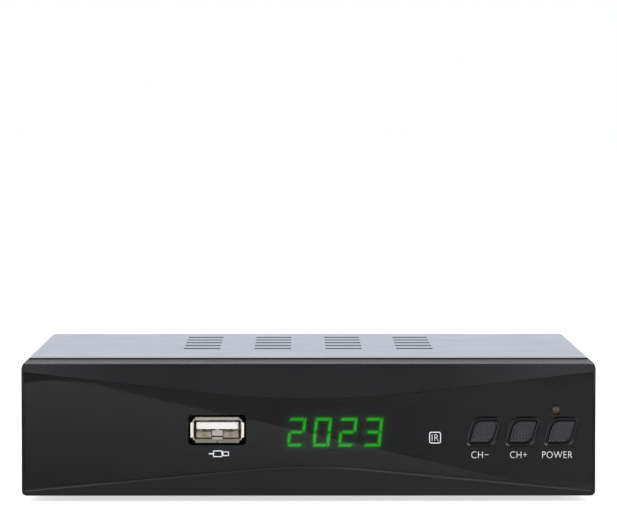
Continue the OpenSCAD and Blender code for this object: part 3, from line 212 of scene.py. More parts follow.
class Effects:
    """Shader node groups that several finishes share, each built once."""

    VECTORS = ("Position", "Stretch")
    FINE_SHARE, PIT_SHARE = 0.6, 0.4
    SMUDGE_SPAN = (0.32, 0.68)
    HAZE_SCALE = 140.0
    VEIN_REACH = 0.08

    def _open(self, name: str, inputs: Sequence[str], outputs: Sequence[str]) -> tuple[Graph, Any, Node]:
        """Starts a group with its sockets.

        Args:
            name: Name of the group.
            inputs: Names of the inputs.
            outputs: Names of the outputs, which are all values.

        Returns:
            The graph, the sockets of its inputs and its output node.
        """
        tree = bpy.data.node_groups.new(name, "ShaderNodeTree")
        for label in inputs:
            kind = "NodeSocketVector" if label in self.VECTORS else "NodeSocketFloat"
            tree.interface.new_socket(label, in_out="INPUT", socket_type=kind)
        for label in outputs:
            tree.interface.new_socket(label, in_out="OUTPUT", socket_type="NodeSocketFloat")
        graph = Graph(tree)
        return graph, graph.add("NodeGroupInput").outputs, graph.add("NodeGroupOutput")

    @cached_property
    def grain(self) -> NodeTree:
        """Fine texture of a moulded or painted surface, with its broad smudges.

        Returns:
            The group.
        """
        graph, given, target = self._open("fine_grain", ("Position", "Grain Scale", "Smudge Scale"),
                                          ("Height", "Smudge"))
        place, scale = given["Position"], given["Grain Scale"]
        fine = graph.math("MULTIPLY", graph.noise(place, scale, 2.0, roughness=0.6), self.FINE_SHARE)
        pits = graph.math("MULTIPLY", graph.cells(place, scale).outputs["Distance"], self.PIT_SHARE)
        broad = graph.noise(place, given["Smudge Scale"], 3.0, distortion=0.4)
        graph.join(target, {"Height": graph.math("ADD", fine, pits),
                            "Smudge": graph.spread(broad, *self.SMUDGE_SPAN)})
        return graph.tree

    @cached_property
    def lines(self) -> NodeTree:
        """Drawn or rolled lines of a metal, with a broad haze.

        Returns:
            The group.
        """
        graph, given, target = self._open("drawn_lines", ("Position", "Stretch", "Line Scale"),
                                          ("Lines", "Haze"))
        keys = {0: given["Position"], 1: given["Stretch"]}
        pulled = graph.add("ShaderNodeVectorMath", keys, operation="MULTIPLY").outputs[0]
        graph.join(target, {"Lines": graph.noise(pulled, given["Line Scale"], 4.0, roughness=0.65),
                            "Haze": graph.noise(given["Position"], self.HAZE_SCALE, 2.0)})
        return graph.tree

    @cached_property
    def spangle(self) -> NodeTree:
        """Crystals of a dipped zinc or tin coat, with the veins between them.

        Returns:
            The group.
        """
        graph, given, target = self._open("spangle", ("Position", "Crystal Scale"), ("Crystal", "Vein"))
        place, scale = given["Position"], given["Crystal Scale"]
        parts = graph.add("ShaderNodeSeparateColor", {0: graph.cells(place, scale).outputs["Color"]})
        edge = graph.cells(place, scale, "DISTANCE_TO_EDGE").outputs["Distance"]
        graph.join(target, {"Crystal": parts.outputs[0],
                            "Vein": graph.spread(edge, 0.0, self.VEIN_REACH, 1.0, 0.0)})
        return graph.tree


EFFECTS = Effects()


@dataclass(frozen=True)
class Finish:
    """A surface finish. Each kind wires its own nodes round one Principled shader."""

    name: str
    color: Color
    roughness: float = 0.5

    def material(self) -> Material:
        """Makes the finish's material the first time it is asked for.

        Returns:
            The material.
        """
        label = self.name + "_finish"
        made = bpy.data.materials.get(label)
        if made is None:
            made = bpy.data.materials.new(label)
            graph = Graph.of(made)
            shader = graph.add("ShaderNodeBsdfPrincipled")
            graph.add("ShaderNodeOutputMaterial", {"Surface": shader.outputs[0]})
            self.wire(graph, shader)
        return made

    def wire(self, graph: Graph, shader: Node) -> None:
        """Sets the shader's sockets for this finish."""
        raise NotImplementedError

    def grained(self, graph: Graph, grain: float, smudge: float) -> Node:
        """Returns the shared grain, given the steps a metre of its grain and of its smudges."""
        keys = {"Position": graph.place(), "Grain Scale": grain, "Smudge Scale": smudge}
        return graph.group(EFFECTS.grain, keys)

    def ruled(self, graph: Graph, along: Along, scale: float) -> Node:
        """Returns the shared lines, given their direction and steps a metre."""
        keys = {"Position": graph.place(), "Stretch": along.value, "Line Scale": scale}
        return graph.group(EFFECTS.lines, keys)

    def rough(self, graph: Graph, value: NodeSocket, span: Point, shares: Point) -> NodeSocket:
        """Returns a roughness from one share of the finish's own to another, over a span of a value."""
        return graph.spread(value, *span, *(self.roughness * share for share in shares))

    def tones(self, amount: float) -> tuple[tuple[float, ...], tuple[float, ...]]:
        """Returns the colour made darker and lighter by that share."""
        return (tuple(c * (1.0 - amount) for c in self.color),
                tuple(min(1.0, c * (1.0 + amount)) for c in self.color))


@dataclass(frozen=True)
class Moulded(Finish):
    """Moulded plastic, rubber or epoxy with a fine grain and broad smudges."""

    grain: float = 0.25
    relief: float = 0.006
    vary: float = 0.12
    drift: float = 0.06
    ior: float = 1.5
    coat: float = 0.0
    coat_roughness: float = 0.05
    smudges: float = 55.0

    def wire(self, graph: Graph, shader: Node) -> None:
        """Wires grain into the normal, and smudges into colour and roughness.

        Args:
            graph: Graph of the material.
            shader: Its shader.
        """
        look = self.grained(graph, 1.0 / (self.grain * MM), self.smudges)
        smudge = look.outputs["Smudge"]
        low, high = max(0.0, self.roughness - self.drift), self.roughness + self.drift
        graph.join(shader, {
            "Base Color": graph.blend(smudge, *self.tones(self.vary)),
            "Roughness": graph.spread(smudge, *UNIT, low, high),
            "Normal": graph.bump(self.shaped(graph, look.outputs["Height"]), self.relief),
            "IOR": self.ior,
            "Coat Weight": self.coat,
            "Coat Roughness": self.coat_roughness,
        })

    def shaped(self, graph: Graph, height: NodeSocket) -> NodeSocket:
        """Returns the height of the grain, which a kind of moulding may level in places."""
        return height


@dataclass(frozen=True)
class PanelMoulding(Moulded):
    """Moulding of the front: satin, polished in its field, with painted highlights on its collar corners,
    crease and ledge, painted lighter ends on its upper band, and a painted sheen on its strip.
    """

    polished: float = 0.15
    # Colour of the painted highlights: glints on the collars' lower corners, a lit line on the lower crease's
    # bevel and its ledge, and the upper band's lighter ends; they are dimmer in the middle of the front.
    highlight_tone: Color = (0.5, 0.5, 0.52)
    less_painted_highlight: tuple[Span, Span] = (((-57.0, 0.0), (-50.0, 0.55)), ((2.0, 0.0), (12.0, 0.55)))
    # Painted light: the ends of the upper band are made lighter, as where light falls on them.
    lit_ends: tuple[Span, Span] = (((-50.0, 0.0), (-72.0, 0.024)), ((30.0, 0.0), (74.0, 0.036)))
    lit_ends_z: Span = ((27.0, 0.0), (30.0, 1.0))
    # Painted sheen: the sloped top strip is coloured lighter, as where it faces the light.
    strip: Color = (0.098, 0.098, 0.104)
    sheen_strip_z: Span = ((36.54, 0.0), (36.66, 1.0))
    specks: float = 2600.0
    speck_span: Point = (0.3, 0.7)
    speck_tones: Point = (0.5, 1.5)

    def shaped(self, graph: Graph, height: NodeSocket) -> NodeSocket:
        """Returns the height of the grain, level where the moulding is polished."""
        return graph.math("MULTIPLY", height, graph.math("SUBTRACT", 1.0, graph.mark("polish")))

    def wire(self, graph: Graph, shader: Node) -> None:
        """Wires the moulding and its polish, then its painted highlights and the painted sheen of its strip.

        Args:
            graph: Graph of the material.
            shader: Its shader.
        """
        super().wire(graph, shader)
        satin, plain = graph.fed(shader, "Roughness"), graph.fed(shader, "Base Color")
        drop = graph.math("MULTIPLY", graph.math("SUBTRACT", satin, self.polished), graph.mark("polish"))
        across, _, height = graph.axes()
        below = graph.blend(self._painted_highlight(graph, across, height), plain, self.highlight_tone)
        graph.join(shader, {
            "Roughness": graph.math("SUBTRACT", satin, drop),
            "Base Color": graph.blend(graph.along(height, *self.sheen_strip_z), below, self._painted_strip_sheen(graph)),
        })

    def _painted_highlight(self, graph: Graph, across: NodeSocket, height: NodeSocket) -> NodeSocket:
        """Wires the painted highlights on the edges and a faint painted light on the ends of the upper band.

        Args:
            graph: Graph of the material.
            across: X of the point.
            height: Z of the point.

        Returns:
            The share of painted highlight.
        """
        less = graph.math("SUBTRACT", *(graph.along(across, *span) for span in self.less_painted_highlight))
        painted_highlight = graph.math("MULTIPLY", graph.mark("painted_highlight"), graph.math("SUBTRACT", 1.0, less))
        # Painted light on the ends of the upper band, only above the crease.
        ends = graph.math("ADD", *(graph.along(across, *span) for span in self.lit_ends))
        painted_end_light = graph.math("MULTIPLY", ends, graph.along(height, *self.lit_ends_z))
        return graph.math("ADD", painted_highlight, painted_end_light)

    def _painted_strip_sheen(self, graph: Graph) -> NodeSocket:
        """Returns the speckled colour of the strip, a painted sheen that makes the sloped strip lighter, as
        where it faces the light.
        """
        share = graph.spread(graph.noise(graph.place(), self.specks, 1.0), *self.speck_span)
        return graph.blend(share, *(tuple(c * tone for c in self.strip) for tone in self.speck_tones))


@dataclass(frozen=True)
class Knurled(Moulded):
    """Moulding with a knurl, painted lighter on its points as a highlight and darker in its grooves as
    painted shade.
    """

    contrast: float = 0.92
    flank: Point = (0.36, 0.64)

    def wire(self, graph: Graph, shader: Node) -> None:
        """Wires the moulding, then paints highlight and shade on it by the height of the knurl.

        Args:
            graph: Graph of the material.
            shader: Its shader.
        """
        super().wire(graph, shader)
        # Painted shade in the grooves and painted highlight on the points of the knurl.
        peak = graph.spread(graph.mark("peak"), *self.flank)
        graph.join(shader, {"Base Color": graph.blend(peak, *self.tones(self.contrast))})


@dataclass(frozen=True)
class Drawn(Finish):
    """Plated or drawn metal with fine lines along one direction."""

    along: Along = Along.X
    line: float = 0.12
    relief: float = 0.002
    vary: float = 0.1
    line_span: Point = (0.3, 0.7)
    shares: Point = (0.75, 1.25)

    def wire(self, graph: Graph, shader: Node) -> None:
        """Wires the lines into colour, roughness and normal.

        Args:
            graph: Graph of the material.
            shader: Its shader.
        """
        look = self.ruled(graph, self.along, 1.0 / (self.line * MM)).outputs
        graph.join(shader, {
            "Base Color": graph.blend(look["Haze"], *self.tones(self.vary)),
            "Roughness": self.rough(graph, look["Lines"], self.line_span, self.shares),
            "Normal": graph.bump(look["Lines"], self.relief),
            "Metallic": 1.0,
        })


@dataclass(frozen=True)
class TipShadedDrawn(Drawn):
    """Drawn metal strips with painted shade on their ends in front of a plane across Y."""

    unshaded_y: Span = ((-47.0, 0.0), (-46.95, 1.0))
    # Colour of the painted shade on the contacts' front ends.
    cut: Color = (0.02, 0.014, 0.01)

    def wire(self, graph: Graph, shader: Node) -> None:
        """Wires the drawn metal, then paints shade on its front end.

        Args:
            graph: Graph of the material.
            shader: Its shader.
        """
        super().wire(graph, shader)
        unshaded = graph.along(graph.axes()[1], *self.unshaded_y)
        graph.join(shader, {"Base Color": graph.blend(unshaded, self.cut, graph.fed(shader, "Base Color"))})


@dataclass(frozen=True)
class Spangled(Finish):
    """Zinc or tin dipped sheet with flat crystals and rolled lines."""

    crystal: float = 5.0
    vary: float = 0.12
    along: Along = Along.X
    rolled: float = 6000.0
    relief: float = 0.002
    vein: float = 0.25
    shares: Point = (0.85, 1.2)

    def wire(self, graph: Graph, shader: Node) -> None:
        """Wires crystals into colour and roughness, and the rolled lines into the normal.

        Args:
            graph: Graph of the material.
            shader: Its shader.
        """
        keys = {"Position": graph.place(), "Crystal Scale": 1.0 / (self.crystal * MM)}
        look = graph.group(EFFECTS.spangle, keys).outputs
        tone = graph.math("SUBTRACT", look["Crystal"], graph.math("MULTIPLY", look["Vein"], self.vein))
        lines = self.ruled(graph, self.along, self.rolled).outputs["Lines"]
        graph.join(shader, {
            "Base Color": graph.blend(tone, *self.tones(self.vary)),
            "Roughness": self.rough(graph, look["Crystal"], UNIT, self.shares),
            "Normal": graph.bump(lines, self.relief),
            "Metallic": 1.0,
        })


@dataclass(frozen=True)
class Smoked(Finish):
    """Smoked clear plastic, polished, that lets the clock shine through."""

    grain: float = 2500.0
    smudges: float = 30.0
    vary: float = 0.15
    shares: Point = (0.6, 1.4)
    ior: float = 1.49

    def wire(self, graph: Graph, shader: Node) -> None:
        """Wires faint smudges into the polish.

        Args:
            graph: Graph of the material.
            shader: Its shader.
        """
        smudge = self.grained(graph, self.grain, self.smudges).outputs["Smudge"]
        graph.join(shader, {
            "Base Color": graph.blend(smudge, *self.tones(self.vary)),
            "Roughness": self.rough(graph, smudge, UNIT, self.shares),
            "Transmission Weight": 1.0,
            "IOR": self.ior,
        })


@dataclass(frozen=True)
class Glowing(Finish):
    """Plastic that is lit from inside, as bright as an attribute of its mesh or evenly all over."""

    light: Color = (0.0, 1.0, 0.0)
    strength: float = 1.0
    attribute: str = ""
    grain: float = 3000.0
    smudges: float = 700.0
    vary: float = 0.1
    even: Point = (0.9, 1.0)

    def wire(self, graph: Graph, shader: Node) -> None:
        """Wires the light into the emission, with a soft unevenness.

        Args:
            graph: Graph of the material.
            shader: Its shader.
        """
        smudge = self.grained(graph, self.grain, self.smudges).outputs["Smudge"]
        if self.attribute:
            share = graph.mark(self.attribute)
        else:
            share = graph.spread(smudge, *UNIT, *self.even)
        graph.join(shader, {
            "Base Color": graph.blend(smudge, *self.tones(self.vary)),
            "Roughness": self.roughness,
            "Emission Color": graph.blend(share, DARK, self.light),
            "Emission Strength": self.strength,
        })


@dataclass(frozen=True)
class Board(Finish):
    """Circuit board with solder mask over fine copper tracks."""

    pitch: float = 2.2
    relief: float = 0.02
    track: Point = (0.05, 0.09)
    track_rough: float = 0.1
    grain: float = 4000.0
    smudges: float = 40.0
    vary: float = 0.45

    def wire(self, graph: Graph, shader: Node) -> None:
        """Wires tracks into the colour and into a slight relief.

        Args:
            graph: Graph of the material.
            shader: Its shader.
        """
        cells = graph.cells(graph.place(), 1.0 / (self.pitch * MM), "DISTANCE_TO_EDGE")
        track = graph.spread(cells.outputs["Distance"], *self.track, 1.0, 0.0)
        smudge = self.grained(graph, self.grain, self.smudges).outputs["Smudge"]
        dark, light = self.tones(self.vary)
        graph.join(shader, {
            "Base Color": graph.blend(track, graph.blend(smudge, dark, self.color), light),
            "Roughness": graph.spread(track, *UNIT, self.roughness, self.roughness + self.track_rough),
            "Normal": graph.bump(track, self.relief),
        })


@dataclass(frozen=True)
class Ribbed(Finish):
    """Ribbon of round wires side by side, which lie next to one another across X."""

    wire_pitch: float = 1.27
    relief: float = 0.2
    vary: float = 0.25
    bands_a_turn: float = 0.314

    def wire(self, graph: Graph, shader: Node) -> None:
        """Wires the ribs into colour and normal.

        Args:
            graph: Graph of the material.
            shader: Its shader.
        """
        keys = {"Vector": graph.place(), "Scale": self.bands_a_turn / (self.wire_pitch * MM)}
        ribs = graph.add("ShaderNodeTexWave", keys, wave_type="BANDS", bands_direction="X",
                         wave_profile="SIN").outputs["Fac"]
        graph.join(shader, {
            "Base Color": graph.blend(ribs, *self.tones(self.vary)),
            "Roughness": self.roughness,
            "Normal": graph.bump(ribs, self.relief),
        })


BLACK = PanelMoulding("moulded_black", (0.0062, 0.0057, 0.0072), 0.4, grain=0.3, relief=0.008, ior=1.43)
KEY_BLACK = Knurled("key_black", (0.1, 0.098, 0.11), 0.42, grain=0.15, relief=0.002)
NICKEL = Drawn("nickel_shell", (0.9, 0.85, 0.77), 0.32, along=Along.Y)
# Socket contacts with painted shade on their front ends.
TIP_SHADED_GILT = TipShadedDrawn("tip_shaded_gilt", (0.74, 0.69, 0.6), 0.4, along=Along.Y)
WINDOW = Smoked("smoked_window", (0.1, 0.097, 0.108), 0.018)
PRINT_WHITE = Moulded("print_white", (0.92, 0.94, 0.96), 0.55, grain=0.12, relief=0.001, vary=0.04)
DIFFUSER = Glowing("display_black", (0.012, 0.01, 0.01), 0.6, light=(0.05, 0.9, 0.06), strength=3.0,
                   attribute="glow")
LIT_BAR = Glowing("segment_lit", (0.02, 0.2, 0.02), 0.3, light=(0.003, 0.95, 0.0), strength=3.7)
FINISHES: dict[str, Finish] = {finish.name: finish for finish in (
    BLACK,
    WINDOW,
    KEY_BLACK,
    NICKEL,
    DIFFUSER,
    LIT_BAR,
    Moulded("cover_paint", (0.026, 0.027, 0.031), 0.15, grain=0.45, relief=0.001, vary=0.06, drift=0.012),
    Spangled("zinc_sheet", (0.56, 0.58, 0.6), 0.36, crystal=2.6, vary=0.06),
    Moulded("foot_rubber", (0.02, 0.02, 0.02), 0.8, grain=0.4, relief=0.02),
    Moulded("plunger_tan", (0.5, 0.42, 0.28), 0.45),
    Moulded("switch_black", (0.02, 0.02, 0.021), 0.5),
    Moulded("lamp_lens", (0.072, 0.048, 0.037), 0.12, grain=0.5, relief=0.001, ior=1.42),
    Drawn("tinned_wire", (0.66, 0.67, 0.68), 0.3, along=Along.Y),
    Moulded("infrared_epoxy", (0.012, 0.009, 0.012), 0.15, relief=0.001),
    Moulded("segment_unlit", (0.012, 0.014, 0.011), 0.4),
    Moulded("spacer_white", (0.75, 0.75, 0.72), 0.5),
    Moulded("tongue_white", (0.93, 0.92, 0.89), 0.4, relief=0.003, vary=0.02),
    Drawn("gilt_contact", (0.75, 0.56, 0.25), 0.25, along=Along.Y),
    Board("board_green", (0.03, 0.13, 0.05), 0.3),
    Drawn("plated_steel", (0.6, 0.61, 0.62), 0.32, along=Along.Z),
    Moulded("header_cream", (0.78, 0.75, 0.66), 0.45),
    Ribbed("ribbon_grey", (0.35, 0.36, 0.37), 0.45),
    Spangled("tin_plate", (0.66, 0.67, 0.68), 0.28, crystal=8.0),
    Moulded("insulator_white", (0.85, 0.84, 0.8), 0.4),
    Moulded("socket_black", (0.02, 0.02, 0.021), 0.38, grain=0.35, relief=0.012),
    Moulded("jack_orange", (0.68, 0.2, 0.03), 0.25, relief=0.003),
    Moulded("chip_black", (0.02, 0.02, 0.022), 0.55, grain=0.15, relief=0.01),
    Drawn("sink_aluminium", (0.6, 0.62, 0.64), 0.3, along=Along.Y),
    Moulded("capacitor_sleeve", (0.02, 0.03, 0.09), 0.2, relief=0.002),
    Moulded("coil_grey", (0.08, 0.08, 0.085), 0.6, grain=0.2, relief=0.02),
    Moulded("screw_black", (0.018, 0.018, 0.02), 0.3, grain=0.2, relief=0.004, coat=0.4),
)}


def put(name: str, data: Any) -> Object:
    """Adds an object to the scene.

    Args:
        name: Name of the object.
        data: Its mesh, text, lamp or camera.

    Returns:
        The object.
    """
    made = bpy.data.objects.new(name, data)
    bpy.context.scene.collection.objects.link(made)
    return made


def only(kind: type, made: Iterable[Any]) -> list[Any]:
    """Returns what is of one kind, such as vertices, among the elements that an operator made."""
    return [element for element in made if isinstance(element, kind)]


def rectangle(centre: Point, size: Point) -> list[Point]:
    """Returns the corners of an upright rectangle, anticlockwise as seen from the front."""
    (x, z), (half_w, half_h) = centre, (size[0] / 2, size[1] / 2)
    return [(x + u * half_w, z + v * half_h) for u, v in ((-1, -1), (1, -1), (1, 1), (-1, 1))]


def stood(x: float, y: float, z: float) -> Matrix:
    """Returns the matrix that stands a flat shape up at a place, facing the front."""
    return Matrix.Translation((x * MM, y * MM, z * MM)) @ Matrix.Rotation(math.radians(90.0), 4, "X")


class Shape:
    """A mesh under construction. Sizes come in millimetres and are kept in metres."""

    def __init__(self) -> None:
        """Starts an empty mesh."""
        self.bm = bmesh.new()

    @classmethod
    def of_node(cls, node: str) -> "Shape":
        """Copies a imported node, merged and with its flats cleared of needless edges.

        Args:
            node: Name of the node.

        Returns:
            The copy.
        """
        made = cls()
        made.bm.from_mesh(frame["nodes"][node].data)
        bmesh.ops.remove_doubles(made.bm, verts=made.bm.verts, dist=TOUCHING)
        bmesh.ops.dissolve_limit(made.bm, angle_limit=FLAT, verts=made.bm.verts, edges=made.bm.edges)
        return made

    def plate(self, points: Iterable[Point], y: float, rounds: Sequence[float] = ()) -> BMFace:
        """Makes a flat face in X and Z that looks to the front.

        Args:
            points: Corners in X and Z, anticlockwise as seen from the front.
            y: Plane of the face.
            rounds: How far along its edges each corner is rounded, if it is.

        Returns:
            The face.
        """
        verts = [self.bm.verts.new((x * MM, y * MM, z * MM)) for x, z in points]
        face = self.bm.faces.new(verts)
        face.normal_update()
        for vert, reach in zip(verts, rounds):
            if reach > 0.0:
                bmesh.ops.bevel(self.bm, geom=[vert], offset=reach * MM, offset_type="OFFSET", segments=6,
                                profile=0.5, affect="VERTICES", material=-1)
        self.bm.faces.ensure_lookup_table()
        return face if face.is_valid else self.bm.faces[-1]

    def pull(self, faces: Iterable[BMFace], depth: float) -> list[BMFace]:
        """Draws flat faces along Y into closed solids.

        Args:
            faces: Faces to draw from.
            depth: How far back they are drawn, or forward where it is negative.

        Returns:
            The faces of the solids.
        """
        flats = list(faces)
        made = bmesh.ops.extrude_face_region(self.bm, geom=flats, use_keep_orig=True)["geom"]
        moved = only(BMVert, made)
        bmesh.ops.translate(self.bm, vec=(0.0, depth * MM, 0.0), verts=moved)
        solids = list({f for v in moved for f in v.link_faces} | set(flats))
        bmesh.ops.recalc_face_normals(self.bm, faces=solids)
        return solids

    def solid(self, points: Iterable[Point], y0: float, y1: float,
              rounds: Sequence[float] = ()) -> list[BMFace]:
        """Makes a prism between a front and a back plane, from an outline that may be rounded."""
        return self.pull([self.plate(points, y0, rounds)], y1 - y0)

    def soften(self, edges: Iterable[BMEdge], width: float, segments: int = 3) -> None:
        """Rounds edges by that width."""
        bmesh.ops.bevel(self.bm, geom=list(edges), offset=width * MM, offset_type="OFFSET", segments=segments,
                        profile=0.5, affect="EDGES", material=-1, clamp_overlap=True)

    def cut(self, point: Sequence[float], normal: Sequence[float], clear: bool = False) -> None:
        """Cuts along a plane, given in metres, and clears what lies on the side of its normal if asked."""
        geom = [*self.bm.verts, *self.bm.edges, *self.bm.faces]
        bmesh.ops.bisect_plane(self.bm, geom=geom, plane_co=point, plane_no=normal, clear_outer=clear)

    def wall(self, thickness: float, look: Sequence[float] | None = None) -> None:
        """Gives an open sheet a thickness.

        Args:
            thickness: Thickness behind its faces.
            look: Direction that most faces are first turned to, if they are.
        """
        self.bm.normal_update()
        if look is not None:
            bmesh.ops.recalc_face_normals(self.bm, faces=self.bm.faces)
            if sum(f.normal.dot(Vector(look)) * f.calc_area() for f in self.bm.faces) < 0.0:
                bmesh.ops.reverse_faces(self.bm, faces=self.bm.faces)
        bmesh.ops.solidify(self.bm, geom=self.bm.faces[:], thickness=thickness * MM)

    def shift(self, verts: Iterable[BMVert], x: float = 0.0, y: float = 0.0, z: float = 0.0) -> None:
        """Moves vertices by that much."""
        bmesh.ops.translate(self.bm, vec=(x * MM, y * MM, z * MM), verts=list(verts))

    def turn(self, matrix: Matrix) -> None:
        """Moves and turns the whole mesh."""
        bmesh.ops.transform(self.bm, matrix=matrix, verts=self.bm.verts)

    def take(self, part: "Shape") -> None:
        """Moves another shape into this one.

        Args:
            part: The other shape, which is used up.
        """
        mesh = part.mesh("part")
        self.bm.from_mesh(mesh)
        bpy.data.meshes.remove(mesh)

    def shade(self, flat_area: float = 3.0, sharp: float = 35.0) -> None:
        """Shades small faces smooth and large ones flat.

        Args:
            flat_area: Area in square millimetres from which a face is flat.
            sharp: Angle in degrees from which an edge stays sharp.
        """
        self.bm.normal_update()
        for face in self.bm.faces:
            face.smooth = face.calc_area() < flat_area * MM * MM
        for edge in self.bm.edges:
            edge.smooth = len(edge.link_faces) == 2 and edge.calc_face_angle() < math.radians(sharp)

    def edges_at(self, y: float, bent: float | None = None) -> list[BMEdge]:
        """Finds the edges that lie in a plane across Y.

        Args:
            y: The plane.
            bent: Least angle in radians between their two faces, if it matters.

        Returns:
            The edges.
        """
        flat = [e for e in self.bm.edges if all(abs(v.co.y - y * MM) < IN_PLANE for v in e.verts)]
        if bent is None:
            return flat
        return [e for e in flat if len(e.link_faces) == 2 and e.calc_face_angle() > bent]

    def mesh(self, name: str) -> bpy.types.Mesh:
        """Ends the construction.

        Args:
            name: Name of the mesh.

        Returns:
            The mesh.
        """
        made = bpy.data.meshes.new(name)
        self.bm.to_mesh(made)
        self.bm.free()
        return made

    def piece(self, name: str, finish: Finish, body: Body, slot: str = "",
              stands_for: Sequence[str] = ()) -> None:
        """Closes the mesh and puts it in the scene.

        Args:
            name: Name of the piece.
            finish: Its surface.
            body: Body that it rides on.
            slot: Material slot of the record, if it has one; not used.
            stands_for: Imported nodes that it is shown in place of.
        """
        made = put(name, self.mesh(name))
        made.data.materials.append(finish.material())
        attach(made, body.value)
        if stands_for:
            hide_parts(*stands_for)
        log.info("made %s with %d faces", name, len(made.data.polygons))


def soft_shading() -> NodeTree:
    """Makes the geometry nodes that shade gentle edges smooth and keep sharp ones, once.

    Returns:
        Their tree.
    """
    name, sharp = "soft_shading", math.radians(32.0)
    made = bpy.data.node_groups.get(name)
    if made is None:
        made = bpy.data.node_groups.new(name, "GeometryNodeTree")
        for way in ("INPUT", "OUTPUT"):
            made.interface.new_socket("Geometry", in_out=way, socket_type="NodeSocketGeometry")
        graph = Graph(made)
        geometry = graph.add("NodeGroupInput").outputs[0]
        angle = graph.add("GeometryNodeInputMeshEdgeAngle").outputs[0]
        gentle = graph.add("FunctionNodeCompare", {0: angle, 1: sharp}, data_type="FLOAT",
                           operation="LESS_THAN").outputs[0]
        for domain, smooth in (("FACE", True), ("EDGE", gentle)):
            keys = {"Geometry": geometry, "Shade Smooth": smooth}
            geometry = graph.add("GeometryNodeSetShadeSmooth", keys, domain=domain).outputs[0]
        graph.add("NodeGroupOutput", {"Geometry": geometry})
    return made


@dataclass
class PackedNodes:
    """The solids that keep their shape and only get a finish."""

    rounded: dict[str, float] = field(default_factory=lambda: {
        "top_cover": 0.05,
        "rubber_feet": 0.5,
        "data_socket_tongue": 0.12,
        "antenna_in_shell": 0.2,
        "antenna_out_shell": 0.2,
        "antenna_in_contact": 0.1,
        "audio_jack_sleeve": 0.2,
        "audio_jack_body": 0.15,
        "power_inlet_body": 0.25,
        "wide_socket_body": 0.2,
        "cover_screws": 0.25,
        "video_socket_tongue": 0.15,
    })
    special: dict[str, Finish] = field(default_factory=lambda: {"data_socket_contacts": TIP_SHADED_GILT})
    sharp: float = 40.0

    def dress(self) -> None:
        """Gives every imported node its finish, joins its triangles and rounds what shows."""
        for part in frame["record"]["subparts"]:
            name, slot = part["node"], part["material_slot"]
            node = frame["nodes"][name]
            node.data.materials.clear()
            node.data.materials.append(self.special.get(name, FINISHES[slot]).material())
            self._smooth(node, self.rounded.get(name, 0.0))
            log.info("dressed %s in %s", name, slot)

    def _smooth(self, node: Object, width: float) -> None:
        """Adds the modifiers that join loose triangles and round the sharp edges of a node.

        Args:
            node: Object of the node.
            width: How far its edges are rounded, or 0.
        """
        node.modifiers.new("join", "WELD").merge_threshold = TOUCHING
        flats = node.modifiers.new("flats", "DECIMATE")
        flats.decimate_type = "DISSOLVE"
        flats.angle_limit = FLAT
        if width > 0.0:
            edges = node.modifiers.new("edges", "BEVEL")
            edges.width = width * MM
            edges.segments = 3
            edges.limit_method = "ANGLE"
            edges.angle_limit = math.radians(self.sharp)
            edges.use_clamp_overlap = True
        node.modifiers.new("shading", "NODES").node_group = soft_shading()
        flat_first = node.modifiers.new("flat_first", "WEIGHTED_NORMAL")
        flat_first.weight = 100
        flat_first.keep_sharp = True


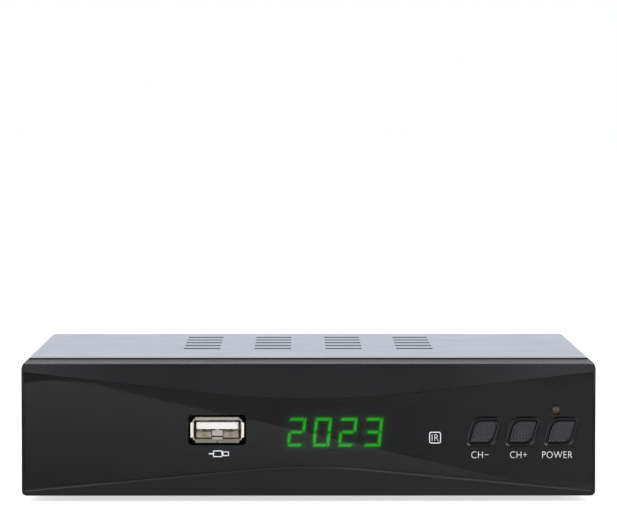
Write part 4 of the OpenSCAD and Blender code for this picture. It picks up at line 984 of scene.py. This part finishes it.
@dataclass
class FrontPanel:
    """Moulded front, with its lower crease and the collars of its keys softly rounded.

    A glint spot is a place, from the middle of a key, and the most painted highlight there; the collars'
    lower corners carry these painted glints.
    """

    band_y: float = -49.75
    collar_y: float = -49.55
    pocket_y: float = -47.75
    slack: float = 0.1
    crease: float = 0.5
    crease_end: float = 74.8
    crease_fit: float = 0.01
    crease_glint: float = 0.06
    ledge_glint: float = 0.12
    collar: float = 0.24
    collar_bend: float = 0.7
    collar_foot: float = -0.15
    bevel_lean: float = 0.2
    upright: float = 0.04
    key_room: float = 5.5
    glint_spots: tuple[tuple[float, float, float], ...] = ((-4.36, -3.25, 1.0), (2.67, -2.8, 0.5))
    glint_reach: float = 0.5

    def build(self) -> None:
        """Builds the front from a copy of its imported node."""
        shape = Shape.of_node("front_panel")
        for end in (-self.crease_end, self.crease_end):
            shape.cut((end * MM, 0.0, 0.0), (1.0, 0.0, 0.0))
        shape.bm.normal_update()
        creases = [e for e in shape.edges_at(self.band_y) if any(f.normal.z > FACING for f in e.link_faces)]
        reach = (self.crease_end + self.crease_fit) * MM
        shape.soften([e for e in creases if all(abs(v.co.x) < reach for v in e.verts)], self.crease)
        shape.soften(shape.edges_at(self.collar_y, self.collar_bend), self.collar)
        shape.shade()
        self._mark(shape)
        shape.piece("panel_moulding", BLACK, Body.CASE, "moulded_black", ["front_panel"])

    def _mark(self, shape: Shape) -> None:
        """Marks what is polished, the pocket, its ends and the collars, and the edges that carry painted
        highlights.

        Args:
            shape: The front.
        """
        polish = shape.bm.loops.layers.float.new("polish")
        # Painted highlights: glints on the collars' lower corners, a lit line on the lower crease's bevel and
        # on its ledge.
        painted_highlight = shape.bm.loops.layers.float.new("painted_highlight")
        for face in shape.bm.faces:
            middle, normal = face.calc_center_median() / MM, face.normal
            sunk = self.band_y + self.slack < middle.y < self.pocket_y + self.slack
            key = min(KEYS_X, key=lambda x: abs(x - middle.x))
            collar = math.hypot(middle.x - key, middle.z - KEYS_Z) < self.key_room
            low = middle.z < KEYS_Z and not collar
            for loop in face.loops:
                loop[polish] = float(sunk and (collar or abs(normal.z) < self.upright))
                if collar and sunk and normal.z < self.collar_foot:
                    loop[painted_highlight] = self._glint(loop.vert.co / MM, key)
                elif low and normal.y < -self.bevel_lean and normal.z > self.bevel_lean:
                    loop[painted_highlight] = self.crease_glint
                elif low and sunk and normal.z > FACING:
                    loop[painted_highlight] = self.ledge_glint

    def _glint(self, point: Vector, key: float) -> float:
        """Finds how strong the painted glint on the collar of a key is, most at its two lower corners.

        Args:
            point: Point of the collar.
            key: X of the key.

        Returns:
            The share of painted glint, from 0 to 1.
        """
        share = 0.0
        for x, z, most in self.glint_spots:
            away = math.hypot(point.x - key - x, point.z - KEYS_Z - z)
            share = max(share, most * math.exp(-((away / self.glint_reach) ** 2)))
        return share


@dataclass
class FrontWindow:
    """Smoked plate of the centre field, a hair clear of the pocket behind it."""

    front_y: float = -49.15
    back_y: float = -47.75
    air: float = 0.05
    edge: float = 0.07
    edge_bend: float = 0.5
    low_z: float = 10.0
    high_z: float = 26.0
    fit: float = 0.03

    def build(self) -> None:
        """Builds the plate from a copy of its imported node."""
        shape = Shape.of_node("front_window")
        verts = shape.bm.verts
        shape.shift([v for v in verts if abs(v.co.y - self.back_y * MM) < TOUCHING], y=-self.air)
        lower = [v for v in verts if v.co.z < self.low_z * MM]
        upper = [v for v in verts if v.co.z > self.high_z * MM]
        shape.shift(lower, z=-self.fit)
        shape.shift(upper, z=self.fit)
        rim = shape.edges_at(self.front_y, self.edge_bend)
        shape.soften([e for e in rim if max(v.co.z for v in e.verts) > self.low_z * MM], self.edge, 2)
        shape.piece("window_plate", WINDOW, Body.CASE, "smoked_window", ["front_window"])


@dataclass
class KeyRow:
    """Three leaning push keys with a knurled face."""

    keys: tuple[tuple[str, Body], ...] = (
        ("channel_down_key", Body.CHANNEL_DOWN),
        ("channel_up_key", Body.CHANNEL_UP),
        ("power_key", Body.POWER),
    )
    face_y: float = -49.75
    wall_y: float = -46.35
    back_y: float = -45.15
    width: float = 5.62
    height: float = 5.4
    lean: float = 14.7
    round_r: float = 2.2
    sharp_r: float = 0.25
    least_r: float = 0.05
    flange: float = 0.9
    rim: float = 0.14
    inset: float = 0.1
    sunk: float = 0.3
    knurl: float = 0.78
    knurl_h: float = 0.24
    knurl_sunk: float = 0.03
    knurl_count: int = 30
    skin: float = 0.1
    plain: float = 0.2
    slack: float = 0.01

    def corners(self, x: float, grow: float) -> list[Point]:
        """Finds the corners of a key's leaning outline.

        Args:
            x: Middle of the key.
            grow: How far it is grown on every side.

        Returns:
            The four corners.
        """
        slope = math.radians(self.lean)
        high = self.height / 2 + grow
        wide = self.width / 2 + grow / math.cos(slope)
        shift = high * math.tan(slope)
        return [(x - wide - shift, KEYS_Z - high), (x + wide - shift, KEYS_Z - high),
                (x + wide + shift, KEYS_Z + high), (x - wide + shift, KEYS_Z + high)]

    def reaches(self, grow: float) -> list[float]:
        """Returns how far along its edges each corner of an outline grown by that much is rounded."""
        sharp, blunt = (max(self.least_r, r + grow) / math.tan(math.radians(90.0 + lean) / 2)
                        for r, lean in ((self.sharp_r, -self.lean), (self.round_r, self.lean)))
        return [sharp, blunt, sharp, blunt]

    def build(self) -> None:
        """Builds the three keys."""
        for (name, body), x in zip(self.keys, KEYS_X):
            shape = Shape()
            self._cap(shape, x)
            self._knurl(shape, x)
            self._mark_peaks(shape)
            shape.piece(name + "_cap", KEY_BLACK, body, "key_black", [name])

    def _cap(self, shape: Shape, x: float) -> None:
        """Adds the stem with its rounded rim and the flange behind it.

        Args:
            shape: Key that takes them.
            x: Middle of the key.
        """
        shape.solid(self.corners(x, 0.0), self.face_y, self.back_y, self.reaches(0.0))
        shape.soften(shape.edges_at(self.face_y), self.rim)
        front = min(shape.bm.faces, key=lambda f: f.calc_center_median().y)
        bmesh.ops.inset_region(shape.bm, faces=[front], thickness=self.inset * MM, depth=-self.sunk * MM,
                               use_even_offset=True)
        shape.solid(self.corners(x, self.flange), self.wall_y, self.back_y, self.reaches(self.flange))

    def _knurl(self, shape: Shape, x: float) -> None:
        """Adds a plate of small pyramids in the sunk face, cut to the key's outline.

        Args:
            shape: Key that takes the plate.
            x: Middle of the key.
        """
        count, step = self.knurl_count, self.knurl / math.sqrt(8.0) * MM
        grid = Shape()
        bmesh.ops.create_grid(grid.bm, x_segments=count, y_segments=count, size=step * count / 2)
        for vert in grid.bm.verts:
            if round(vert.co.x / step) % 2 == 0 and round(vert.co.y / step) % 2 == 0:
                vert.co.z += self.knurl_h * MM
        base = self.face_y + self.knurl_sunk + self.knurl_h
        grid.turn(stood(x, base, KEYS_Z) @ Matrix.Rotation(math.radians(45.0), 4, "Z"))
        cutter = Shape()
        shrink = -self.rim - self.inset
        border = cutter.plate(self.corners(x, shrink), self.face_y, self.reaches(shrink))
        for loop in border.loops:
            start, stop = loop.vert.co, loop.link_loop_next.vert.co
            grid.cut(start, (stop - start).cross(Vector((0.0, -1.0, 0.0))), clear=True)
        cutter.bm.free()
        grid.wall(self.skin)
        shape.take(grid)

    def _mark_peaks(self, shape: Shape) -> None:
        """Notes how high every point of the knurl stands, for the painted highlight and shade of its finish;
        points off the knurl get the darkest painted tone.

        Args:
            shape: The key.
        """
        layer = shape.bm.verts.layers.float.new("peak")
        top = self.face_y + self.knurl_sunk
        for vert in shape.bm.verts:
            share = 1.0 - (vert.co.y / MM - top) / self.knurl_h
            vert[layer] = share if -self.slack < share < 1.0 + self.slack else self.plain


@dataclass
class ClockDisplay:
    """Clock module behind the window, with the light that the lit bars spill round them."""

    centre: Point = (11.3, 19.6)
    size: Point = (37.0, 12.6)
    face: Point = (35.89, 11.97)
    face_y: float = -47.545
    face_slack: float = 0.02
    body_y: Point = (-47.495, -39.55)
    edge: float = 0.2
    skin: float = 0.1
    digits: str = "2023"
    digits_centre: Point = (7.0, 18.36)
    pitch: float = 6.78
    digit_w: float = 4.48
    digit_h: float = 7.7
    bar_w: float = 0.81
    bar_y: Point = (-47.55, -46.95)
    gap: float = 0.1
    cut: float = 0.42
    tip: Point = (0.3, 0.2)
    slant: float = 5.6
    step: float = 0.16
    spill: float = 0.5
    spill_share: float = 0.17

    LIT = {"0": "abcdef", "2": "abdeg", "3": "abcdg"}

    def outlines(self) -> dict[str, list[Point]]:
        """Draws the bars of an upright digit, anticlockwise as seen from the front.

        Returns:
            The corners of every bar.
        """
        w, h, g, s = self.digit_w / 2, self.digit_h / 2, self.gap, self.cut
        half = self.bar_w / 2
        i, k = w - self.bar_w, h - self.bar_w
        tip, side = w - self.tip[0], self.tip[1]
        step = half + g
        return {
            "a": [(-w + g, k), (i - g, k), (i + s - g, h), (-w + s, h)],
            "b": [(tip, g), (w, side), (w, h - 2 * g), (w - 2 * g, h), (i + s + g, h), (i + g, k), (i, step)],
            "c": [(tip, -g), (i, -step), (i, -k + 2 * g), (i + s / 2 + g, -k), (i + g, -h), (w - 2 * g, -h),
                  (w, -h + 2 * g), (w, -side)],
            "d": [(-w + g, -h), (i - g, -h), (i + s / 2 - g, -k), (-w + s, -k)],
            "e": [(-tip, -g), (-w, -side), (-w, -k + 2 * g), (-i, -k + 2 * g), (-i, -step)],
            "f": [(-tip, g), (-i, step), (-i, k - 2 * g), (-w, k - 2 * g), (-w, side)],
            "g": [(-i - 2 * g, 0.0), (-i + s / 2, -half), (i - s / 2, -half), (i + 2 * g, 0.0),
                  (i - s / 2, half), (-i + s / 2, half)],
        }

    def lit(self, bars: dict[str, list[Point]]) -> list[list[Point]]:
        """Places the lit bars of all digits, leaning, in X and Z.

        Args:
            bars: Points of every bar of an upright digit.

        Returns:
            The points of each lit bar.
        """
        x, z = self.digits_centre
        lean, first = math.tan(math.radians(self.slant)), (len(self.digits) - 1) / 2
        return [[(x + (place - first) * self.pitch + u + v * lean, z + v) for u, v in bars[bar]]
                for place, digit in enumerate(self.digits) for bar in self.LIT[digit]]

    def middle_lines(self) -> list[tuple[Vector, Vector]]:
        """Finds the middle lines of all lit bars.

        Returns:
            The two ends of each, in X and Z.
        """
        w, h = (self.digit_w - self.bar_w) / 2, (self.digit_h - self.bar_w) / 2
        bars = {"a": [(-w, h), (w, h)], "b": [(w, 0.0), (w, h)], "c": [(w, -h), (w, 0.0)],
                "d": [(-w, -h), (w, -h)], "e": [(-w, -h), (-w, 0.0)], "f": [(-w, 0.0), (-w, h)],
                "g": [(-w, 0.0), (w, 0.0)]}
        return [(Vector(start), Vector(stop)) for start, stop in self.lit(bars)]

    def spilled(self, point: Vector, lines: Sequence[tuple[Vector, Vector]]) -> float:
        """Finds the light that reaches a point of the module's face.

        Args:
            point: The point in X and Z.
            lines: Middle lines of the lit bars.

        Returns:
            The share of light.
        """
        nearest = math.inf
        for start, stop in lines:
            run = stop - start
            t = max(0.0, min(1.0, (point - start).dot(run) / run.length_squared))
            nearest = min(nearest, (point - start - run * t).length - self.bar_w / 2)
        return self.spill_share * math.exp(-max(0.0, nearest) / self.spill)

    def build(self) -> None:
        """Builds the module with a finely divided face that carries the spilled light, then the bars."""
        shape = Shape()
        shape.solid(rectangle(self.centre, self.size), *self.body_y)
        shape.soften(shape.bm.edges, self.edge)
        shape.take(self._face())
        layer = shape.bm.verts.layers.float.new("glow")
        lines = self.middle_lines()
        for vert in shape.bm.verts:
            if vert.co.y < (self.face_y + self.face_slack) * MM:
                vert[layer] = self.spilled(vert.co.xz / MM, lines)
        shape.piece("display_module", DIFFUSER, Body.CASE, "display_black",
                    ["display_housing", "display_unlit_segments"])
        bars = Shape()
        for outline in self.lit(self.outlines()):
            bars.solid(outline, *self.bar_y)
        bars.piece("display_lit_bars", LIT_BAR, Body.CASE, "segment_lit", ["display_lit_segments"])

    def _face(self) -> Shape:
        """Makes the divided face of the module.

        Returns:
            The face, as a thin plate.
        """
        (wide, high), (x, z) = self.face, self.centre
        grid = Shape()
        columns, rows = int(wide / self.step), int(high / self.step)
        bmesh.ops.create_grid(grid.bm, x_segments=columns, y_segments=rows, size=0.5)
        grid.turn(stood(x, self.face_y, z) @ Matrix.Diagonal((wide * MM, high * MM, 1.0, 1.0)))
        grid.wall(self.skin)
        return grid


@dataclass
class DataSocket:
    """Shell of the front data socket: rolled tube, flared lips and spring leaves.

    A leaf is its wall, -1 for the floor and 1 for the roof, its width, its bow and the lift of its front
    end. A tab is its foot and its top above the floor, and its distance behind the mouth.
    """

    centre: Point = (-24.2, 19.03)
    inner: Point = (12.5, 5.12)
    sheet: float = 0.3
    corner: float = 0.7
    mouth_y: float = -48.75
    back_y: float = -35.75
    lip_r: float = 0.6
    lip_turn: float = 64.0
    lip_flat: float = 0.53
    lip_in: Point = (0.4, 0.55)
    seam: float = 0.25
    steps: int = 8
    leaves_x: Point = (-3.6, 3.6)
    leaves: tuple[tuple[float, ...], ...] = ((-1.0, 4.0, 2.0, 0.5), (1.0, 2.3, -0.5, 0.0))
    leaf_y: Point = (1.2, 7.0)
    leaf_sheet: float = 0.2
    tab_w: float = 2.8
    tab_sheet: float = 0.4
    tab_rounds: tuple[float, ...] = (0.0, 0.0, 0.2, 0.2)
    tabs: tuple[tuple[float, float, float], ...] = ((0.0, 0.45, 1.7), (0.8, 2.5, 2.0))

    def build(self) -> None:
        """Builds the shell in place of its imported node."""
        shape = Shape()
        self._tube(shape)
        half_w, half_h = self.inner[0] / 2, self.inner[1] / 2
        run_x, run_z, seam = half_w - self.lip_in[0], half_h - self.lip_in[1], self.seam / 2
        for turn, root, start, stop in ((0.0, half_h, -run_x, run_x), (180.0, half_h, -run_x, -seam),
                                        (180.0, half_h, seam, run_x), (90.0, half_w, -run_z, run_z),
                                        (270.0, half_w, -run_z, run_z)):
            self._lip(shape, turn, root, start, stop)
        for x in self.leaves_x:
            for side, width, bow, lift in self.leaves:
                self._leaf(shape, x, width, side * half_h, bow, lift)
        self._tab(shape)
        shape.shift(shape.bm.verts, x=self.centre[0], z=self.centre[1])
        shape.piece("data_socket_rolled_shell", NICKEL, Body.CASE, "nickel_shell", ["data_socket_shell"])

    def bend_y(self) -> float:
        """Returns the plane where the lips start to bend outward."""
        turn = math.radians(self.lip_turn)
        return self.mouth_y + self.lip_r * math.sin(turn) + self.lip_flat * math.cos(turn)

    def _tube(self, shape: Shape) -> None:
        """Adds the tube with rounded corners behind the lips.

        Args:
            shape: Shell that takes it.
        """
        outer = (self.inner[0] + 2 * self.sheet, self.inner[1] + 2 * self.sheet)
        faces = shape.solid(rectangle((0.0, 0.0), outer), self.bend_y(), self.back_y, [self.corner] * 4)
        ends = [f for f in faces if abs(f.normal.y) > FACING]
        bmesh.ops.delete(shape.bm, geom=ends, context="FACES_ONLY")
        bmesh.ops.solidify(shape.bm, geom=shape.bm.faces[:], thickness=self.sheet * MM)

    def _lip(self, shape: Shape, turn: float, root: float, start: float, stop: float) -> None:
        """Adds one flared lip.

        Args:
            shape: Shell that takes the lip.
            turn: Turn about Y from the upper lip, in degrees.
            root: Distance of the inner wall from the middle.
            start: Where the lip starts along its wall.
            stop: Where it stops.
        """
        bend_y, angle = self.bend_y(), math.radians(self.lip_turn)
        part = Shape()
        ends = [part.bm.verts.new((x * MM, bend_y * MM, root * MM)) for x in (start, stop)]
        edge = part.bm.edges.new(ends)
        middle = (0.0, bend_y * MM, (root + self.lip_r) * MM)
        bent = bmesh.ops.spin(part.bm, geom=[*ends, edge], cent=middle, axis=(1.0, 0.0, 0.0), angle=-angle,
                              steps=self.steps, use_merge=False)["geom_last"]
        made = bmesh.ops.extrude_edge_only(part.bm, edges=only(BMEdge, bent))["geom"]
        part.shift(only(BMVert, made), y=-math.cos(angle) * self.lip_flat, z=math.sin(angle) * self.lip_flat)
        part.wall(self.sheet, look=(0.0, -1.0, -1.0))
        part.turn(Matrix.Rotation(math.radians(turn), 4, "Y"))
        shape.take(part)

    def _leaf(self, shape: Shape, x: float, width: float, wall: float, bow: float, lift: float) -> None:
        """Adds a spring leaf that bows from a wall into the opening.

        Args:
            shape: Shell that takes the leaf.
            x: Middle of the leaf.
            width: Its width.
            wall: Height of the wall that it is cut from.
            bow: How far it bows from the wall, with its sign.
            lift: How far its front end stands off the wall.
        """
        part = Shape()
        y0, y1 = (self.mouth_y + y for y in self.leaf_y)
        ends = [part.bm.verts.new((end * MM, y0 * MM, (wall + lift) * MM))
                for end in (x - width / 2, x + width / 2)]
        strip = [part.bm.edges.new(ends)]
        for i in range(1, self.steps + 1):
            share = i / self.steps
            made = bmesh.ops.extrude_edge_only(part.bm, edges=strip)["geom"]
            strip = only(BMEdge, made)
            for vert in only(BMVert, made):
                vert.co.y = (y0 + (y1 - y0) * share) * MM
                vert.co.z = (wall + lift * (1.0 - share) + bow * math.sin(math.pi * share)) * MM
        part.wall(self.leaf_sheet, look=(0.0, 0.0, bow))
        shape.take(part)

    def _tab(self, shape: Shape) -> None:
        """Adds the folded tab in the middle of the floor, with the slit at its foot.

        Args:
            shape: Shell that takes the tab.
        """
        floor = -self.inner[1] / 2
        for low, high, front in self.tabs:
            box = rectangle((0.0, floor + (low + high) / 2), (self.tab_w, high - low))
            part, y = Shape(), self.mouth_y + front
            part.solid(box, y, y + self.tab_sheet, self.tab_rounds)
            shape.take(part)


@dataclass
class Legends:
    """White printing on the window: words under the keys and marks by the sockets.

    A word is its letters, the X of its middle and its width. A part of the plug mark is its shift from the
    mark's middle, its size and how far its corners are rounded.
    """

    plane: float = -49.15
    ink: float = 0.02
    words: tuple[tuple[str, float, float], ...] = (
        ("CH−", 45.38, 4.5), ("CH+", 55.62, 4.45), ("POWER", 65.9, 8.0))
    words_z: float = 12.45
    cap_h: float = 1.8
    spacing: float = 1.08
    thinned: float = -0.014
    line: float = 0.24
    infrared_mark: Point = (33.5, 17.02)
    infrared_frame: Point = (3.15, 3.1)
    infrared_corner: float = 0.6
    infrared_shift: float = 0.05
    infrared_word: Point = (1.85, 1.75)
    plug_mark: Point = (-23.7, 12.75)
    plug_frames: tuple[tuple[float, Point, float], ...] = (
        (1.75, (1.7, 1.2), 0.1), (-0.35, (2.5, 1.75), 0.35))
    plug_lead: tuple[float, Point, float] = (-2.175, (1.15, 0.32), 0.1)

    def build(self) -> None:
        """Builds the words and the marks as one printed layer."""
        shape = Shape()
        for text, x, width in self.words:
            self._word(shape, text, (x, self.words_z), (width, self.cap_h))
        x, z = self.infrared_mark
        self._frame(shape, (x, z), self.infrared_frame, self.infrared_corner)
        self._word(shape, "IR", (x + self.infrared_shift, z), self.infrared_word)
        self._plug(shape)
        shape.piece("window_printing", PRINT_WHITE, Body.CASE)

    def _word(self, shape: Shape, text: str, centre: Point, size: Point) -> None:
        """Adds a word as thin raised ink.

        Args:
            shape: Printing that takes the word.
            text: The word.
            centre: Its middle in X and Z.
            size: Its width and the height of its capitals.
        """
        curve = bpy.data.curves.new("word", "FONT")
        curve.body = text
        curve.align_x, curve.align_y = "CENTER", "BOTTOM_BASELINE"
        curve.resolution_u = 4
        curve.space_character = self.spacing
        curve.offset = self.thinned
        holder = put("word", curve)
        graph = bpy.context.evaluated_depsgraph_get()
        mesh = bpy.data.meshes.new_from_object(holder.evaluated_get(graph))
        part = Shape()
        part.bm.from_mesh(mesh)
        bpy.data.objects.remove(holder)
        bpy.data.curves.remove(curve)
        bpy.data.meshes.remove(mesh)
        low, high = (Vector(pick(v.co[i] for v in part.bm.verts) for i in range(3)) for pick in (min, max))
        bmesh.ops.translate(part.bm, vec=-(low + high) / 2, verts=part.bm.verts)
        span = high - low
        scale = Matrix.Diagonal((size[0] * MM / span.x, size[1] * MM / span.y, 1.0, 1.0))
        part.turn(stood(centre[0], self.plane, centre[1]) @ scale)
        part.pull(part.bm.faces, -self.ink)
        shape.take(part)

    def _frame(self, shape: Shape, centre: Point, size: Point, corner: float) -> None:
        """Adds a rounded outline.

        Args:
            shape: Printing that takes it.
            centre: Its middle in X and Z.
            size: Its width and height.
            corner: How far its corners are rounded.
        """
        part = Shape()
        face = part.plate(rectangle(centre, size), self.plane - self.ink, [corner] * 4)
        bmesh.ops.inset_region(part.bm, faces=[face], thickness=self.line * MM, use_boundary=True,
                               use_even_offset=True)
        bmesh.ops.delete(part.bm, geom=[face], context="FACES")
        part.pull(part.bm.faces, self.ink)
        shape.take(part)

    def _plug(self, shape: Shape) -> None:
        """Adds a plain plug mark under the data socket.

        Args:
            shape: Printing that takes it.
        """
        x, z = self.plug_mark
        for shift, size, corner in self.plug_frames:
            self._frame(shape, (x + shift, z), size, corner)
        shift, size, corner = self.plug_lead
        lead = Shape()
        lead.solid(rectangle((x + shift, z), size), self.plane - self.ink, self.plane, [corner] * 4)
        shape.take(lead)


@dataclass
class Studio:
    """White sweep, soft light and the camera at the photograph's place."""

    eye: tuple[float, float, float] = (-2.62, -896.8, 107.29)
    pitch: float = 3.0035
    yaw: float = 0.1755
    focal_px: float = 3213.9
    sensor: float = 36.0
    clip: Point = (0.01, 50.0)
    lamp_place: tuple[float, float, float] = (800.0, -700.0, 350.0)
    lamp_size: float = 1000.0
    lamp_power: float = 6.8
    front_wall: Color = (0.25, 0.25, 0.26)
    front_side: Color = (0.56, 0.56, 0.57)
    back_wall: Color = (0.9, 0.94, 1.06)
    front_ceiling: Color = (0.4, 0.4, 0.41)
    dark_ceiling: Color = (0.06, 0.06, 0.06)
    ceiling: Color = (1.05, 1.05, 1.08)
    wall_aside: Point = (0.03, 0.4)
    wall_back: Point = (-0.55, 0.25)
    ceiling_aside: Point = (0.25, 0.6)
    ceiling_back: Point = (-0.05, 0.4)
    ceiling_foot: Point = (0.2, 0.75)
    floor_color: Color = (0.9, 0.9, 0.9)
    floor_half: float = 6000.0
    floor_drop: float = 0.02
    floor_lift: float = 0.65
    # Painted shade seen only in reflections: shares of the floor's tone by Y, darker towards the receiver
    # with a lighter strip near its foot, and lighter from left to right.
    mirrored_floor_shade: tuple[Point, ...] = ((-410.0, 0.92), (-92.0, 0.6), (-84.0, 0.6), (-79.0, 0.8), (-50.0, 0.8))
    mirrored_floor_side_shade: Span = ((-60.0, 0.88), (30.0, 1.22))
    card_tone: Span = ((20.0, 0.33), (80.0, 0.48))
    card_far: Span = ((-412.0, 0.76), (-362.0, 1.0))
    card_edge: tuple[Point, ...] = (
        (57.32, -91.72), (-16.1, -255.4), (-46.8, -320.0), (-69.3, -369.8), (-76.0, -387.0),
        (-81.0, -396.6), (-93.7, -406.9), (-99.7, -405.5), (-103.5, -398.0), (-240.0, -398.0))
    card_side: float = 1500.0
    card_back: float = -2500.0
    card_z: float = 0.5

    def build(self) -> None:
        """Sets up the world, the floor, the lamps and the camera."""
        self._world()
        self._floor()
        self._card()
        self._lamp("left_lamp", -1.0)
        self._lamp("right_lamp", 1.0)
        self._camera()

    def _world(self) -> None:
        """Makes a room with white walls and ceiling, and a darker wall behind the camera."""
        world = bpy.data.worlds.new("white_room")
        bpy.context.scene.world = world
        graph = Graph.of(world)
        seen = graph.add("ShaderNodeLightPath").outputs["Is Camera Ray"]
        way = graph.add("ShaderNodeTexCoord").outputs["Generated"]
        across, along, up = graph.add("ShaderNodeSeparateXYZ", {0: way}).outputs[:3]
        aside = graph.math("ABSOLUTE", across)
        front = graph.blend(graph.spread(aside, *self.wall_aside), self.front_wall, self.front_side)
        walls = graph.blend(graph.spread(along, *self.wall_back), front, self.back_wall)
        near = graph.blend(graph.spread(aside, *self.ceiling_aside), self.dark_ceiling, self.front_ceiling)
        roof = graph.blend(graph.spread(along, *self.ceiling_back), near, self.ceiling)
        room = graph.blend(graph.spread(up, *self.ceiling_foot), walls, roof)
        light = graph.add("ShaderNodeBackground", {"Color": graph.blend(seen, room, WHITE), "Strength": 1.0})
        graph.add("ShaderNodeOutputWorld", {"Surface": light.outputs[0]})

    def _laid(self, name: str, shape: Shape, material: str) -> tuple[Object, Graph]:
        """Lays a sheet on the stage.

        Args:
            name: Name of the sheet.
            shape: Its shape.
            material: Name of its material.

        Returns:
            Its object, and the empty graph of its material.
        """
        sheet = put(name, shape.mesh(name))
        made = bpy.data.materials.new(material)
        sheet.data.materials.append(made)
        return sheet, Graph.of(made)

    def _floor(self) -> None:
        """Lays a wide matte floor that stays white to the camera away from the shadow, and carries painted
        shade in reflections: darker towards the receiver, lighter just in front of its foot and towards the
        right.
        """
        shape = Shape()
        bmesh.ops.create_grid(shape.bm, x_segments=2, y_segments=2, size=self.floor_half * MM)
        shape.shift(shape.bm.verts, z=-self.floor_drop)
        _, graph = self._laid("floor", shape, "floor_paper")
        path = graph.add("ShaderNodeLightPath").outputs
        across, along, _ = graph.axes()
        start, stop = self.mirrored_floor_shade[0][0], self.mirrored_floor_shade[-1][0]
        ramp = graph.add("ShaderNodeValToRGB", {0: graph.along(along, (start, 0.0), (stop, 1.0))})
        while len(ramp.color_ramp.elements) < len(self.mirrored_floor_shade):
            ramp.color_ramp.elements.new(0.5)
        for element, (y, share) in zip(ramp.color_ramp.elements, self.mirrored_floor_shade):
            element.position = (y - start) / (stop - start)
            element.color = (*(c * share for c in self.floor_color), 1.0)
        keys = {0: ramp.outputs["Color"], "Scale": graph.along(across, *self.mirrored_floor_side_shade)}
        mirrored = graph.add("ShaderNodeVectorMath", keys, operation="SCALE").outputs[0]
        # Glossy rays see the floor with painted shade; camera and diffuse rays see it plain.
        tone = graph.blend(path["Is Glossy Ray"], self.floor_color, mirrored)
        matte = graph.add("ShaderNodeBsdfDiffuse", {"Color": tone})
        straight = graph.math("MAXIMUM", path["Is Camera Ray"], path["Is Transmission Ray"])
        level = graph.math("MULTIPLY", straight, self.floor_lift)
        lift = graph.add("ShaderNodeEmission", {"Strength": level})
        both = graph.add("ShaderNodeAddShader", {0: matte.outputs[0], 1: lift.outputs[0]})
        graph.add("ShaderNodeOutputMaterial", {"Surface": both.outputs[0]})

    def _card(self) -> None:
        """Lays a grey card in front whose edge the window mirrors as a slanting line."""
        near, far, side, back = self.card_edge[0], self.card_edge[-1], self.card_side, self.card_back
        corners = [*self.card_edge, (-side, far[1]), (-side, back), (side, back), (side, near[1])]
        shape = Shape()
        shape.bm.faces.new([shape.bm.verts.new((x * MM, y * MM, self.card_z * MM)) for x, y in corners])
        card, graph = self._laid("grey_card", shape, "card_grey")
        across, along, _ = graph.axes()
        shade, far_shade = graph.along(across, *self.card_tone), graph.along(along, *self.card_far)
        level = graph.math("MULTIPLY", shade, far_shade)
        tone = graph.add("ShaderNodeEmission", {"Strength": level})
        graph.add("ShaderNodeOutputMaterial", {"Surface": tone.outputs[0]})
        card.visible_camera = False
        card.visible_diffuse = False
        card.visible_shadow = False
        card.visible_transmission = False

    def _lamp(self, name: str, side: float) -> None:
        """Hangs a soft square lamp that looks at the receiver.

        Args:
            name: Name of the lamp.
            side: -1 for the left, 1 for the right.
        """
        data = bpy.data.lights.new(name, "AREA")
        data.size = self.lamp_size * MM
        data.energy = self.lamp_power
        x, y, z = self.lamp_place
        place = Vector((side * x, y, z)) * MM
        lamp = put(name, data)
        lamp.location = place
        lamp.rotation_euler = (-place).to_track_quat("-Z", "Y").to_euler()

    def _camera(self) -> None:
        """Puts the camera where the photograph was taken from."""
        data = bpy.data.cameras.new("camera")
        data.sensor_width = self.sensor
        data.lens = self.focal_px / IMAGE_WIDTH * self.sensor
        data.clip_start, data.clip_end = self.clip
        camera = put("camera", data)
        camera.location = Vector(self.eye) * MM
        camera.rotation_euler = (math.radians(90.0 - self.pitch), 0.0, math.radians(-self.yaw))
        bpy.context.scene.camera = camera


def main() -> None:
    """Builds the looks in order."""
    logging.basicConfig(level=logging.INFO, format="%(name)s: %(message)s")
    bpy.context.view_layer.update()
    bpy.context.scene.view_settings.view_transform = "Standard"
    PackedNodes().dress()
    for kind in (FrontPanel, FrontWindow, KeyRow, ClockDisplay, DataSocket, Legends, Studio):
        kind().build()
        log.info("built %s", kind.__name__)


if __name__ == "__main__":
    main()
